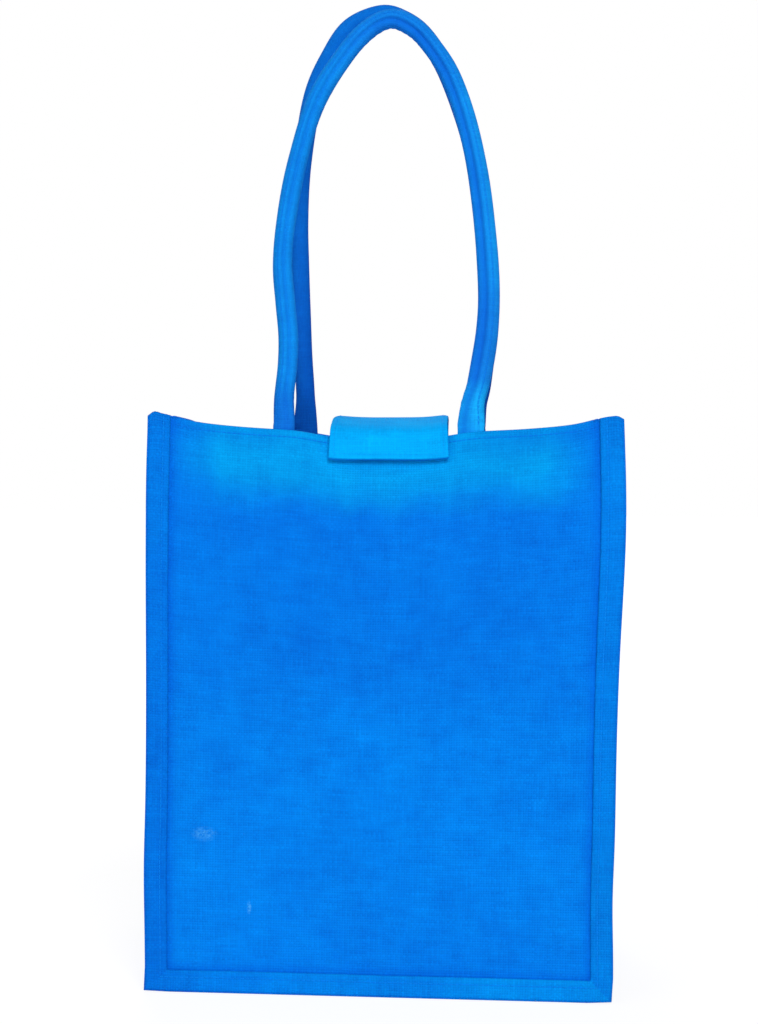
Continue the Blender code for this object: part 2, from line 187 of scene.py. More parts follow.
class Shape:
    """The bag's derived places and how it stands."""

    # Shares of the height, of half the width or of half the depth.
    LEAN_FROM = 0.50
    TAB_REACH = 0.31
    WEB_AT = 0.87
    BULGE_AT = 0.84
    BULGE_REACH = 0.20
    # Lengths.
    STRAIGHT = 0.008
    TAB_DIP = 0.0055
    SIDE_TUCK = 0.006
    SIDE_BULGE = 0.0035
    SAG = 0.008
    TAB_X = 0.0040
    TAB_BACK = 0.020
    TAB_RISE = 0.0150
    TAB_DROOP = 0.0030
    PATCH_WIDTH = 0.050
    PATCH_HEIGHT = 0.012
    PATCH_DOWN = 0.003
    END_WIDTH = 0.0175
    END_THICK = 0.0045
    TUCK = 0.020
    ROUND_BY = 0.030
    HANDLE_GAP = 0.0150
    FOOT_LIFT = 0.0050
    ROLL = 0.0013
    BEND = 0.002
    CORNER = 0.008
    HEM_GAP = 0.0008
    HEM_SEWN = 0.0052
    # Pulls run down from these places of the mouth edge, each with its strength.
    PULL = 0.0016
    PULLS = ((-0.0375, 0.9), (0.0455, 1.0), (-0.069, 0.55), (0.063, 0.65))
    # How the bound edges wander: (height, reach, amount) for each side.
    RIGHT_EDGE = ((0.32, 0.08, 0.0012), (0.07, 0.035, -0.0014))
    LEFT_EDGE = ((0.41, 0.03, 0.0009), (0.085, 0.04, -0.0011))

    def __init__(self, bag):
        self.bag = bag
        self.fold = (2 * bag.cloth + 3 * bag.gap + bag.strip) / 2
        self.raw_x = bag.width / 2 - bag.strip / 2 - self.ROLL
        self.raw_z = bag.strip / 2 + self.ROLL
        self.panel_y = bag.depth / 2 + bag.cloth / 2
        self.flange_y = bag.depth / 2 - bag.gap - bag.cloth / 2
        self.strip_y = bag.depth / 2 + bag.cloth + bag.gap + bag.strip / 2
        self.web_x = bag.width / 2 - bag.border - bag.cloth / 2
        self.web_z = bag.border + bag.cloth / 2
        self.flange = self.raw_x - self.web_x
        self.turn = (bag.cloth + self.HEM_GAP) / 2
        self.top = bag.height - self.turn - bag.cloth / 2
        self.hem_x = self.web_x - 1.5 * bag.cloth - self.HEM_GAP - 3 * bag.gap
        self.hem_face = self.panel_y - 1.5 * bag.cloth - self.HEM_GAP
        self.loop_y = bag.depth / 2 + bag.cloth + bag.gap + bag.tape / 2
        self.hook_y = self.loop_y + bag.tape + bag.gap
        self.tab_y = self.hook_y + bag.tape / 2 + bag.gap + bag.cloth
        self.tab_in_y = self.hem_face - bag.gap - bag.cloth
        self.end_y = self.hem_face - bag.gap - self.END_THICK / 2

    def settle(self, points):
        """Moves points of the square bag to their places in the standing bag."""
        bag = self.bag
        points = np.asarray(points, float)
        flat = points.reshape(-1, 3)
        x, y, z = flat.T
        u = x / (bag.width / 2)
        v = z / bag.height
        w = np.sign(y) * np.minimum(1, np.abs(y) / (bag.depth / 2 - self.STRAIGHT))
        across = np.maximum(0, 1 - u * u)
        between = np.maximum(0, 1 - w * w)
        rise = np.maximum(0, (v - self.LEAN_FROM) / (1 - self.LEAN_FROM))
        lean = np.where(rise < 1, rise * rise, 2 * rise - 1)
        drop = np.minimum(v, 1) ** 2
        dip = bag.dip * np.maximum(0, 1 - np.abs(u) ** 3)
        dip = dip + self.TAB_DIP * np.exp(-((u / self.TAB_REACH) ** 4))
        tuck = self.SIDE_TUCK * np.minimum(1, np.abs(u) / self.WEB_AT) ** 4 * between
        tuck = tuck * np.minimum(rise, 1) ** 2
        bulge = self.SIDE_BULGE * np.maximum(0, u) ** 3 * bell(v, self.BULGE_AT, self.BULGE_REACH)
        sag = self.SAG * across * between * np.maximum(0, 1 - v) ** 12
        lean = w * bag.pinch * across * lean
        moved = np.stack([x - np.sign(x) * tuck + bulge, y - lean, z - dip * drop - sag], 1)
        return (moved + self.relief(flat, u, v, w)).reshape(points.shape)

    def relief(self, flat, u, v, w):
        """Soft unevenness of the cloth. All layers at one place move alike."""
        x, y, z = flat.T
        side = np.where(y < 0, 1.0, 2.0)
        place = np.stack([x, 0.3 * side, z], 1)
        near_edge = np.minimum(1, np.maximum(0, 1 - np.abs(u)) / 0.12)
        feet = np.minimum(1, z / 0.030)
        front = np.clip((1 - w) / 2, 0, 1)
        below = np.maximum(0, self.bag.height - z)
        hollow = waves(place, 3, 0.15, 0.0009) + waves(place, 4, 0.055, 0.00028)
        pulls = 0
        for at, strength in self.PULLS:
            lane = (x - at * (1 + below * 2.2)) / (0.006 + 0.10 * below)
            pulls = pulls - strength * self.PULL * bell(lane, 0, 1) * np.exp(-below / 0.045)
        # Gathers along the hem, drawn in by its stitching.
        gathers = 0.00035 * np.sin(x / 0.0115 * 2 * math.pi + 2.2 * np.sin(x / 0.031))
        gathers = gathers * np.exp(-below / 0.020)
        moved = np.zeros_like(flat)
        moved[:, 1] = np.sign(y) * near_edge * (hollow + pulls - gathers)
        moved[:, 1] *= feet * np.minimum(1, np.abs(w)) ** 4
        # The web of the gusset and the bound edges wander a little sideways.
        along = np.stack([0.7 * side, 0 * y, z], 1)
        sway = waves(along + np.sign(x)[:, None] * 0.37, 9, 0.16, 0.0003)
        right, left = (
            sum(amount * bell(z, at, size) for at, size, amount in edge)
            for edge in (self.RIGHT_EDGE, self.LEFT_EDGE)
        )
        sway = sway + front * np.where(x > 0, right, left)
        moved[:, 0] = sway * np.abs(u) ** 6 * feet
        web = (1 - np.abs(w) ** 4) * np.minimum(1, np.abs(u) / self.WEB_AT) ** 8 * feet
        moved[:, 0] += np.sign(x) * web * waves(flat * (1, 1, 0.6), 12, 0.09, 0.0010)
        # The mouth's ends sink towards the back, where nothing holds them up.
        behind = 0.0042 * np.clip((w + 1) / 2, 0, 1) + 0.0012 * (1 - w * w)
        # In front they stand up a little, with their outermost corners rounded off.
        perk = 0.0024 * bell(np.abs(u), 0.935, 0.09)
        perk = (perk - 0.0034 * np.clip((np.abs(u) - 0.965) / 0.035, 0, 1) ** 2) * front
        moved[:, 2] = (perk - behind * np.abs(u) ** 3) * np.clip(v, 0, 1) ** 10
        return moved


def link(ob):
    bpy.context.scene.collection.objects.link(ob)
    return ob


def mesh_object(name, points, faces, uvs=None, smooth=True):
    mesh = bpy.data.meshes.new(name)
    mesh.from_pydata(np.asarray(points).reshape(-1, 3).tolist(), [], np.asarray(faces).tolist())
    if uvs is not None:
        layer = mesh.uv_layers.new(name=CLOTH_UV)
        corners = np.empty(len(mesh.loops), int)
        mesh.loops.foreach_get("vertex_index", corners)
        layer.uv.foreach_set("vector", np.asarray(uvs, np.float32)[corners].ravel())
    mesh.polygons.foreach_set("use_smooth", [smooth] * len(mesh.polygons))
    mesh.update()
    return link(bpy.data.objects.new(name, mesh))


def grid_faces(rows, columns, keep=None):
    i, j = np.meshgrid(np.arange(rows - 1), np.arange(columns - 1), indexing="ij")
    if keep is not None:
        chosen = keep(i, j)
        i, j = i[chosen], j[chosen]
    a = (i * columns + j).ravel()
    return np.stack([a, a + 1, a + columns + 1, a + columns], 1)


def drop_loose(ob):
    """Removes points that no face uses."""
    mesh = ob.data
    used = np.zeros(len(mesh.vertices), bool)
    corners = np.empty(len(mesh.loops), int)
    mesh.loops.foreach_get("vertex_index", corners)
    used[corners] = True
    if used.all():
        return
    work = bmesh.new()
    work.from_mesh(mesh)
    bmesh.ops.delete(work, geom=[v for v in work.verts if not v.link_faces], context="VERTS")
    work.to_mesh(mesh)
    work.free()


def cloth_piece(name, points, uvs, thickness, material, keep=None):
    """A cloth of the given thickness round a grid of points on its middle surface."""
    rows, columns = points.shape[:2]
    faces = grid_faces(rows, columns, keep)
    ob = mesh_object(name, points, faces, uvs.reshape(-1, 2))
    drop_loose(ob)
    solid = ob.modifiers.new("Thickness", "SOLIDIFY")
    solid.thickness = thickness
    solid.offset = 0
    solid.use_even_offset = True
    solid.use_quality_normals = True
    ob.data.materials.append(material)
    return ob


def walked(points):
    """Distance along each line of points, from its first point."""
    steps = np.linalg.norm(np.diff(points, axis=0), axis=-1)
    return np.concatenate([[0], np.cumsum(steps)])


class Graph:
    """Short ways to add and join shader nodes in one node tree."""

    def __init__(self, tree):
        self.tree = tree

    def put(self, socket, value):
        if isinstance(value, bpy.types.NodeSocket):
            self.tree.links.new(value, socket)
        elif value is not None:
            socket.default_value = value

    def node(self, kind, inputs=(), **settings):
        made = self.tree.nodes.new(kind)
        for name, value in settings.items():
            setattr(made, name, value)
        for key, value in dict(inputs).items():
            self.put(made.inputs[key], value)
        return made

    def math(self, operation, a, b=None, c=None, clamp=False):
        made = self.node("ShaderNodeMath", operation=operation, use_clamp=clamp)
        for socket, value in zip(made.inputs, (a, b, c)):
            self.put(socket, value)
        return made.outputs[0]

    def mix(self, amount, a, b):
        """Between two values."""
        made = self.node("ShaderNodeMix", data_type="FLOAT")
        for socket, value in zip(made.inputs[:4], (amount, None, a, b)):
            self.put(socket, value)
        return made.outputs[0]

    def blend(self, amount, a, b, kind="MIX"):
        """Between two colours."""
        made = self.node("ShaderNodeMix", data_type="RGBA", blend_type=kind)
        self.put(made.inputs[0], amount)
        self.put(made.inputs[6], a)
        self.put(made.inputs[7], b)
        return made.outputs[2]

    def vector(self, operation, a, b=None):
        made = self.node("ShaderNodeVectorMath", operation=operation)
        self.put(made.inputs[0], a)
        self.put(made.inputs[1], b)
        return made.outputs["Value" if operation == "LENGTH" else "Vector"]

    def parts(self, vector):
        return self.node("ShaderNodeSeparateXYZ", {"Vector": vector}).outputs

    def noise(self, vector, scale, detail=2.0, roughness=0.5):
        inputs = {"Vector": vector, "Scale": scale, "Detail": detail, "Roughness": roughness}
        return self.node("ShaderNodeTexNoise", inputs).outputs[0]

    def xyz(self, x, y, z=0.0):
        made = self.node("ShaderNodeCombineXYZ")
        for socket, value in zip(made.inputs, (x, y, z)):
            self.put(socket, value)
        return made.outputs[0]

    def ramp(self, value, low, high, to_low=0.0, to_high=1.0, kind="LINEAR"):
        made = self.node("ShaderNodeMapRange", clamp=True, interpolation_type=kind)
        for socket, number in zip(made.inputs, (value, low, high, to_low, to_high)):
            self.put(socket, number)
        return made.outputs[0]


def group(name, inputs, outputs):
    """A shader node group with its sockets, as (graph, input node, output node)."""
    tree = bpy.data.node_groups.new(name, "ShaderNodeTree")
    for label, kind, default in inputs:
        socket = tree.interface.new_socket(label, in_out="INPUT", socket_type=kind)
        if default is not None:
            socket.default_value = default
    for label, kind in outputs:
        tree.interface.new_socket(label, in_out="OUTPUT", socket_type=kind)
    graph = Graph(tree)
    return graph, graph.node("NodeGroupInput").outputs, graph.node("NodeGroupOutput").inputs


def weave_group():
    """Plain weave: threads that pass over and under each other, thick and thin along
    their length, with dark hollows where they cross and fine fibres on them."""
    g, given, out = group(
        "Plain weave",
        [
            ("Cloth", "NodeSocketVector", None),
            ("Pitch", "NodeSocketFloat", 0.0018),
            ("Wander", "NodeSocketFloat", 0.5),
        ],
        [
            ("Height", "NodeSocketFloat"),
            ("Hollow", "NodeSocketFloat"),
            ("Thread", "NodeSocketFloat"),
            ("Fibre", "NodeSocketFloat"),
        ],
    )
    pitch = g.xyz(given["Pitch"], given["Pitch"], given["Pitch"])
    u, v, _ = g.parts(g.vector("DIVIDE", given["Cloth"], pitch))

    def streaks(u, v, u_scale, v_scale, shift=0.0, detail=2.0):
        at = g.xyz(g.math("MULTIPLY", u, u_scale), g.math("MULTIPLY", v, v_scale), shift)
        return g.noise(at, 1.0, detail)

    def wandering(value, bend):
        bend = g.math("SUBTRACT", bend, 0.5)
        return g.math("ADD", value, g.math("MULTIPLY", bend, given["Wander"]))

    def profile(value, slub):
        """Half-round section across a thread."""
        off = g.math("SUBTRACT", g.math("MULTIPLY", g.math("FRACT", value), 2.0), 1.0)
        off = g.math("MULTIPLY", off, slub)
        left = g.math("SUBTRACT", 1.0, g.math("MULTIPLY", off, off))
        return g.math("SQRT", g.math("MAXIMUM", left, 0.0))

    def random(line, along, shift):
        """A value for each thread, which changes slowly along it."""
        at = g.xyz(g.math("MULTIPLY", line, 7.31), g.math("MULTIPLY", along, 0.075), shift)
        return g.noise(at, 1.0, 1.5, 0.6)

    bends = streaks(u, v, 0.25, 0.07), streaks(u, v, 0.07, 0.25, 7.0)
    u, v = wandering(u, bends[0]), wandering(v, bends[1])
    column, row = g.math("FLOOR", u), g.math("FLOOR", v)
    warp_random, weft_random = random(column, v, 3.0), random(row, u, 23.0)
    up = g.math("MULTIPLY", g.math("ADD", v, column), math.pi)
    across = g.math("MULTIPLY", g.math("ADD", u, row), math.pi)
    slub_warp = g.ramp(warp_random, 0.3, 0.7, 1.22, 0.90)
    slub_weft = g.ramp(weft_random, 0.3, 0.7, 1.22, 0.90)
    warp_lift = g.math("MULTIPLY_ADD", g.math("SINE", up), 0.40, 0.57)
    weft_lift = g.math("MULTIPLY_ADD", g.math("SINE", across), -0.38, 0.64)
    warp = g.math("MULTIPLY", profile(u, slub_warp), warp_lift)
    weft = g.math("MULTIPLY", profile(v, slub_weft), weft_lift)
    on_top = g.math("GREATER_THAN", warp, weft)
    height = g.math("MAXIMUM", warp, weft)
    strands_warp = streaks(u, v, 5.0, 0.55, detail=3.0)
    strands_weft = streaks(u, v, 0.55, 5.0, 11.0, 3.0)
    g.put(out["Height"], height)
    g.put(out["Hollow"], g.ramp(height, 0.20, 0.75, 1.0, 0.0))
    # The weft shows more than the warp.
    even_warp = g.math("MULTIPLY_ADD", warp_random, 0.6, 0.2)
    g.put(out["Thread"], g.mix(on_top, weft_random, even_warp))
    g.put(out["Fibre"], g.mix(on_top, strands_weft, strands_warp))
    return g.tree


def dye_group():
    """Dyed jute: threads and fibres take up the dye unevenly, its green part most of all."""
    g, given, out = group(
        "Dyed jute",
        [
            ("Dye", "NodeSocketColor", (0.01, 0.2, 0.8, 1)),
            ("Hollow", "NodeSocketFloat", 0.0),
            ("Thread", "NodeSocketFloat", 0.5),
            ("Fibre", "NodeSocketFloat", 0.5),
            ("Place", "NodeSocketVector", None),
            ("Depth", "NodeSocketFloat", 1.0),
        ],
        [("Color", "NodeSocketColor")],
    )
    broad = g.noise(given["Place"], 9.0, 3.0, 0.55)
    close = g.noise(given["Place"], 50.0, 3.0, 0.65)
    light = g.ramp(given["Thread"], 0.30, 0.70, -0.18, 0.18)
    light = g.math("ADD", light, g.ramp(given["Fibre"], 0.30, 0.70, -0.09, 0.09))
    light = g.math("ADD", light, g.ramp(broad, 0.35, 0.65, -0.12, 0.12))
    light = g.math("ADD", light, g.ramp(close, 0.3, 0.7, -0.16, 0.16))
    light = g.math("SUBTRACT", light, g.math("MULTIPLY", given["Hollow"], 0.30))
    light = g.math("MULTIPLY_ADD", light, given["Depth"], 1.0)
    apart = g.node("ShaderNodeSeparateColor", {"Color": given["Dye"]}).outputs
    joined = g.node("ShaderNodeCombineColor")
    g.put(joined.inputs[0], g.math("MULTIPLY", apart[0], light))
    g.put(joined.inputs[1], g.math("MULTIPLY", apart[1], light))
    g.put(joined.inputs[2], g.math("MULTIPLY", apart[2], g.math("POWER", light, 0.55)))
    g.put(out["Color"], joined.outputs[0])
    return g.tree


def line_group():
    """A soft line across the cloth at one value of a coordinate, such as a row of stitches or a
    line of painted shade.
    It comes up along the other coordinate between two places, from a part to its whole."""
    g, given, out = group(
        "Shaded line",
        [
            ("Coordinate", "NodeSocketFloat", 0.0),
            ("Along", "NodeSocketFloat", 0.0),
            ("At", "NodeSocketFloat", 0.0),
            ("Width", "NodeSocketFloat", 0.001),
            ("Part", "NodeSocketFloat", 1.0),
            ("From", "NodeSocketFloat", 0.0),
            ("To", "NodeSocketFloat", 1.0),
        ],
        [("Line", "NodeSocketFloat")],
    )
    off = g.math("DIVIDE", g.math("SUBTRACT", given["Coordinate"], given["At"]), given["Width"])
    line = g.math("EXPONENT", g.math("MULTIPLY", g.math("MULTIPLY", off, off), -1.0))
    rise = g.ramp(given["Along"], given["From"], given["To"], given["Part"], 1.0, "SMOOTHSTEP")
    g.put(out["Line"], g.math("MULTIPLY", line, rise))
    return g.tree


def light_band_group():
    """How strongly a band of painted light or shade lies on the cloth: it grows along the cloth,
    stops short of the sides and comes in soft patches."""
    g, given, out = group(
        "Painted light band",
        [
            ("Cloth", "NodeSocketVector", None),
            ("From", "NodeSocketFloat", 0.0),
            ("To", "NodeSocketFloat", 1.0),
            ("Half width", "NodeSocketFloat", 1.0),
            ("Soft edge", "NodeSocketFloat", 0.02),
        ],
        [("Fade", "NodeSocketFloat")],
    )
    sideways, along, _ = g.parts(given["Cloth"])
    patch = g.math("SUBTRACT", g.noise(given["Cloth"], 26.0, 2.0, 0.5), 0.5)
    span = g.math("SUBTRACT", given["To"], given["From"])
    at = g.math("DIVIDE", g.math("SUBTRACT", along, given["From"]), span)
    rise = g.ramp(g.math("MULTIPLY_ADD", patch, 0.7, at), 0.0, 1.0, kind="SMOOTHSTEP")
    inside = g.math("SUBTRACT", given["Half width"], g.math("ABSOLUTE", sideways))
    inside = g.math("MULTIPLY_ADD", patch, 0.02, inside)
    side = g.math("DIVIDE", inside, given["Soft edge"], clamp=True)
    g.put(out["Fade"], g.math("MULTIPLY", rise, side))
    return g.tree


def spot_group():
    """A soft mark at one place of the cloth, with a broken edge."""
    g, given, out = group(
        "Rubbed mark",
        [
            ("Cloth", "NodeSocketVector", None),
            ("Middle", "NodeSocketVector", (0, 0, 0)),
            ("Half size", "NodeSocketVector", (0.01, 0.01, 1)),
        ],
        [("Mark", "NodeSocketFloat")],
    )
    off = g.vector("SUBTRACT", given["Cloth"], given["Middle"])
    far = g.vector("LENGTH", g.vector("DIVIDE", off, given["Half size"]))
    broken = g.ramp(g.noise(given["Cloth"], 420.0, 3.0, 0.7), 0.4, 0.62)
    g.put(out["Mark"], g.math("MULTIPLY", g.ramp(far, 0.35, 1.0, 1.0, 0.0), broken))
    return g.tree


GROUPS = {
    "Plain weave": weave_group,
    "Dyed jute": dye_group,
    "Shaded line": line_group,
    "Painted light band": light_band_group,
    "Rubbed mark": spot_group,
}


def new_material(name):
    """A material with its graph and its Principled shader."""
    made = bpy.data.materials.new(name)
    made.use_nodes = True
    return made, Graph(made.node_tree), made.node_tree.nodes["Principled BSDF"]


def on_cloth(g):
    """Place on the flat cloth, in metres."""
    return g.node("ShaderNodeUVMap", uv_map=CLOTH_UV).outputs[0]


def raise_surface(g, shader, height, distance, strength=1.0):
    bump = g.node("ShaderNodeBump", {"Height": height, "Strength": strength, "Distance": distance})
    g.put(shader.inputs["Normal"], bump.outputs[0])


def cloth_material(name, dye, pitch, lines=(), marks=(), fades=(), relief=0.00030, depth=0.6):
    """Woven and dyed cloth. All lengths are metres on the flat cloth.

    lines are (axis, at, width, strength), and may go on with (part, from, to); each
    darkens the dye with painted shade.
    The bands of painted light or shade are (from, to, green, blue), with the factors that
    a whole band puts on the dye, and may go on with (half width, soft edge).
    marks are (x, y, half width, half height, strength)."""
    made, g, shader = new_material(name)
    place = on_cloth(g)

    def use(title, **values):
        tree = bpy.data.node_groups.get(title) or GROUPS[title]()
        used = g.node("ShaderNodeGroup", node_tree=tree)
        for socket, value in values.items():
            g.put(used.inputs[socket.replace("_", " ")], value)
        return used.outputs

    weave = use("Plain weave", Cloth=place, Pitch=pitch)
    colour_now = use(
        "Dyed jute", Dye=(*dye, 1), Depth=depth, Hollow=weave["Hollow"],
        Thread=weave["Thread"], Fibre=weave["Fibre"], Place=place,
    )[0]
    height = g.math("MULTIPLY_ADD", weave["Fibre"], 0.22, weave["Height"])
    sides = g.parts(place)
    # Bands of painted light and shade, each a factor on the dye.
    for low, high, green, blue, *rest in fades:
        half, soft = rest or (1.0, 0.02)
        fade = use("Painted light band", Cloth=place, From=low, To=high, Half_width=half, Soft_edge=soft)
        factor = g.blend(fade[0], (1, 1, 1, 1), (LIGHT_BAND_RED, green, blue, 1))
        colour_now = g.blend(1.0, colour_now, factor, "MULTIPLY")
    line_shade = (*(part * factor for part, factor in zip(dye, LINE_SHADE_DYE)), 1)
    # Each line lowers the surface and darkens the dye: painted shade.
    for axis, at, width, strength, *rest in lines:
        part, low, high = rest or (1.0, 0.0, 1.0)
        line = use(
            "Shaded line", Coordinate=sides[axis], Along=sides[1 - axis], At=at, Width=width,
            Part=part, From=low, To=high,
        )[0]
        height = g.math("SUBTRACT", height, g.math("MULTIPLY", line, 2.0 * strength))
        colour_now = g.blend(g.math("MULTIPLY", line, 0.5 * strength), colour_now, line_shade)
    for x, y, wide, high, strength in marks:
        mark = use("Rubbed mark", Cloth=place, Middle=(x, y, 0), Half_size=(wide, high, 1))[0]
        colour_now = g.blend(g.math("MULTIPLY", mark, strength), colour_now, RUBBED_COLOUR)
    g.put(shader.inputs["Base Color"], colour_now)
    g.put(shader.inputs["Roughness"], g.ramp(weave["Fibre"], 0.3, 0.7, 0.83, 0.94))
    shader.inputs["Specular IOR Level"].default_value = 0.05
    raise_surface(g, shader, height, relief)
    return made


def thread_material(name, dye):
    """Twisted sewing thread."""
    made, g, shader = new_material(name)
    ply = {"Vector": on_cloth(g), "Scale": 900.0, "Distortion": 1.0}
    twist = g.node("ShaderNodeTexWave", ply, bands_direction="DIAGONAL").outputs[1]
    dark = (dye[0] * 0.8, dye[1] * 0.8, dye[2] * 0.9, 1)
    g.put(shader.inputs["Base Color"], g.blend(twist, dark, (*dye, 1)))
    shader.inputs["Roughness"].default_value = 0.7
    shader.inputs["Specular IOR Level"].default_value = 0.1
    raise_surface(g, shader, twist, 0.0001, 0.7)
    return made


def tape_material(name, dye, hooks):
    """Hook or loop tape: rows of stiff hooks, or a matted pile."""
    made, g, shader = new_material(name)
    place = on_cloth(g)
    if hooks:
        rows = {"Vector": place, "Scale": 1100.0, "Randomness": 0.3}
        far = g.node("ShaderNodeTexVoronoi", rows).outputs["Distance"]
        height = g.ramp(far, 0.0, 0.5, 1.0, 0.0)
    else:
        height = g.noise(place, 2600.0, 4.0, 0.7)
    dark = (dye[0] * 0.4, dye[1] * 0.4, dye[2] * 0.5, 1)
    g.put(shader.inputs["Base Color"], g.blend(height, dark, (*dye, 1)))
    shader.inputs["Roughness"].default_value = 0.6 if hooks else 0.9
    raise_surface(g, shader, height, 0.0004, 0.9)
    return made


def kept(name, make, *values, **more):
    """The material of that name, made on first use."""
    return bpy.data.materials.get(name) or make(name, *values, **more)


def sew(name, line, normals, bag, radius=THREAD_RADIUS, material=None):
    """A row of stitches: short threads that come out of the cloth and go back into it."""
    along = walked(line)
    count = int(along[-1] / bag.stitch)
    if count < 1:
        raise RuntimeError(f"{name}: the row is shorter than one stitch")
    begin = (along[-1] - count * bag.stitch) / 2 + bag.stitch * np.arange(count)
    after, span = STITCH_SPAN
    at = begin[:, None] + bag.stitch * (after + span * STITCH_STEPS[None])
    where = np.stack([np.interp(at, along, line[:, k]) for k in range(3)], -1)
    facing = np.stack([np.interp(at, along, normals[:, k]) for k in range(3)], -1)
    facing /= np.linalg.norm(facing, axis=-1, keepdims=True)
    where = where + facing * (radius * STITCH_LIFT)[None, :, None]
    ahead = np.gradient(where, axis=1)
    ahead /= np.linalg.norm(ahead, axis=-1, keepdims=True)
    side = np.cross(ahead, facing)
    side /= np.linalg.norm(side, axis=-1, keepdims=True)
    over = np.cross(side, ahead)
    sides = STITCH_SIDES
    turn = 2 * math.pi * np.arange(sides) / sides
    rings = where[:, :, None] + (radius * STITCH_THICK)[None, :, None, None] * (
        np.cos(turn)[None, None, :, None] * side[:, :, None]
        + np.sin(turn)[None, None, :, None] * over[:, :, None]
    )
    steps = len(STITCH_STEPS)
    one = []
    for i in range(steps - 1):
        for k in range(sides):
            a, b = i * sides + k, i * sides + (k + 1) % sides
            one.append((a, b, b + sides, a + sides))
    first = (np.arange(count) * steps * sides)[:, None, None]
    faces = (np.array(one)[None] + first).reshape(-1, 4)
    uvs = np.stack(np.broadcast_arrays(at[:, :, None], radius * turn[None, None]), -1)
    ob = mesh_object(name, rings, faces, uvs.reshape(-1, 2))
    ob.data.materials.append(material or kept("sewing_thread", thread_material, PLAIN_THREAD))
    return ob


def finish_piece(ob, node):
    """Says which body the piece rides on and hides the solid it replaces."""
    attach(ob, "root")
    if node:
        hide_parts(node)
    return ob


def across_normal(points):
    """Unit normals of a grid of points, as rows by columns by 3."""
    along = np.gradient(points, axis=0)
    over = np.gradient(points, axis=1)
    facing = np.cross(over, along)
    return facing / np.maximum(np.linalg.norm(facing, axis=-1, keepdims=True), 1e-12)


def sew_hem(shape, name, line, axis, way):
    """The row of stitches of a hem, on a line of the square bag. The cloth there faces
    way along the given axis."""
    beside = 0.001
    lane = np.stack([shape.settle(line + (0, 0, off)) for off in (-beside, 0, beside)])
    normal = across_normal(lane)[1]
    normal *= np.sign(normal[:, axis : axis + 1]) * way
    return finish_piece(sew(name, lane[1], normal, shape.bag), None)


def half_turn(shape, x, steps=8):
    """The fold of a top hem, from a cloth that stands at x, as places in and up."""
    turn = np.linspace(0, math.pi, steps + 1)[1:]
    return x - shape.turn + shape.turn * np.cos(turn), shape.top + shape.turn * np.sin(turn)


def panel_profile(shape):
    """Y and Z of the panel's middle surface, from the bottom edge over the hem's fold."""
    calm = 0.30
    low, high = spread(shape.raw_z, calm, 0.004), spread(calm, shape.top, 0.0024)
    heights = np.unique(np.concatenate([low, high]))
    flat = np.stack([np.full(len(heights), shape.panel_y), heights], 1)
    fold = np.stack(half_turn(shape, shape.panel_y), 1)
    down = spread(shape.top, shape.top - shape.bag.hem, 0.0024)[1:]
    leaf = np.stack([np.full(len(down), shape.panel_y - 2 * shape.turn), down], 1)
    return np.concatenate([flat, fold, leaf]), len(flat) - 1


def panel_material(shape, front):
    """The panel's cloth: a row of stitches below the mouth, painted shadow beside the
    binding and painted shade below the hem beside the tab. The front has painted light:
    it is lighter below the mouth and towards the bottom."""
    bag = shape.bag
    top, low, side = bag.height - shape.raw_z, shape.web_z - shape.raw_z, shape.web_x - 0.0014
    lines = [
        (1, top - shape.HEM_SEWN, 0.0009, 0.14),
        # These three lines darken the panel beside the binding: painted shadow.
        (1, low + 0.0014, 0.0034, 0.42),
        (0, side, 0.0036, 0.45),
        (0, -side, 0.0036, 0.45),
        # These two darken the cloth below the hem towards the sides: painted shade.
        (1, top - 0.006, 0.0125, 0.50, 0.10, 0.05, 0.10),
        (1, top - 0.004, 0.0090, 0.36, 0.10, -0.05, -0.11),
    ]
    dye = tuple(bag.panel_colour)
    if not front:
        return kept("jute_back", cloth_material, dye, bag.pitch, lines)
    # Painted light: lighter below the mouth, where the panel leans back, and towards the bottom.
    below_hem = (bag.height - 0.068, bag.height - 0.028, 1.80, 1.05, 0.150, 0.036)
    low_down = (0.260, 0.170, 1.24, 1.10)
    marks = [(-0.123, 0.112, 0.010, 0.006, 0.5), (-0.091, 0.060, 0.0018, 0.0055, 0.9)]
    return kept("jute_front", cloth_material, dye, bag.pitch, lines, marks, [below_hem, low_down])


def build_panel(shape, front):
    bag = shape.bag
    name = "front_panel" if front else "back_panel"
    facing = -1 if front else 1
    inner = spread(0, shape.hem_x, 0.0034)
    outer = np.linspace(shape.hem_x + 0.0008, shape.raw_x, 5)
    half = np.concatenate([inner[1:], outer])
    columns = np.concatenate([-half[::-1], [0], half])
    profile, flat_cells = panel_profile(shape)
    x, y = np.meshgrid(columns, profile[:, 0])
    z = np.meshgrid(columns, profile[:, 1])[1]
    # Beside the hem the single cloth stands as high as the hem's fold.
    edge = len(outer)
    z[flat_cells, :edge] = z[flat_cells, -edge:] = bag.height - 0.0004
    points = shape.settle(np.stack([x, facing * y, z], -1))
    uvs = np.stack(np.meshgrid(columns, walked(profile)), -1)
    last = len(columns) - 1
    ob = cloth_piece(
        name + "_cloth", points, uvs, bag.cloth, panel_material(shape, front),
        lambda i, j: (i < flat_cells) | ((j >= edge) & (j < last - edge)),
    )
    finish_piece(ob, name)
    sewn = shape.web_x - 0.003
    xs = spread(-sewn, sewn, 0.0012)
    out = np.full(len(xs), facing * (shape.panel_y + bag.cloth / 2))
    line = np.stack([xs, out, np.full(len(xs), bag.height - shape.HEM_SEWN)], 1)
    row = sew_hem(shape, f"{name}_hem_stitches", line, 1, facing)
    return ob


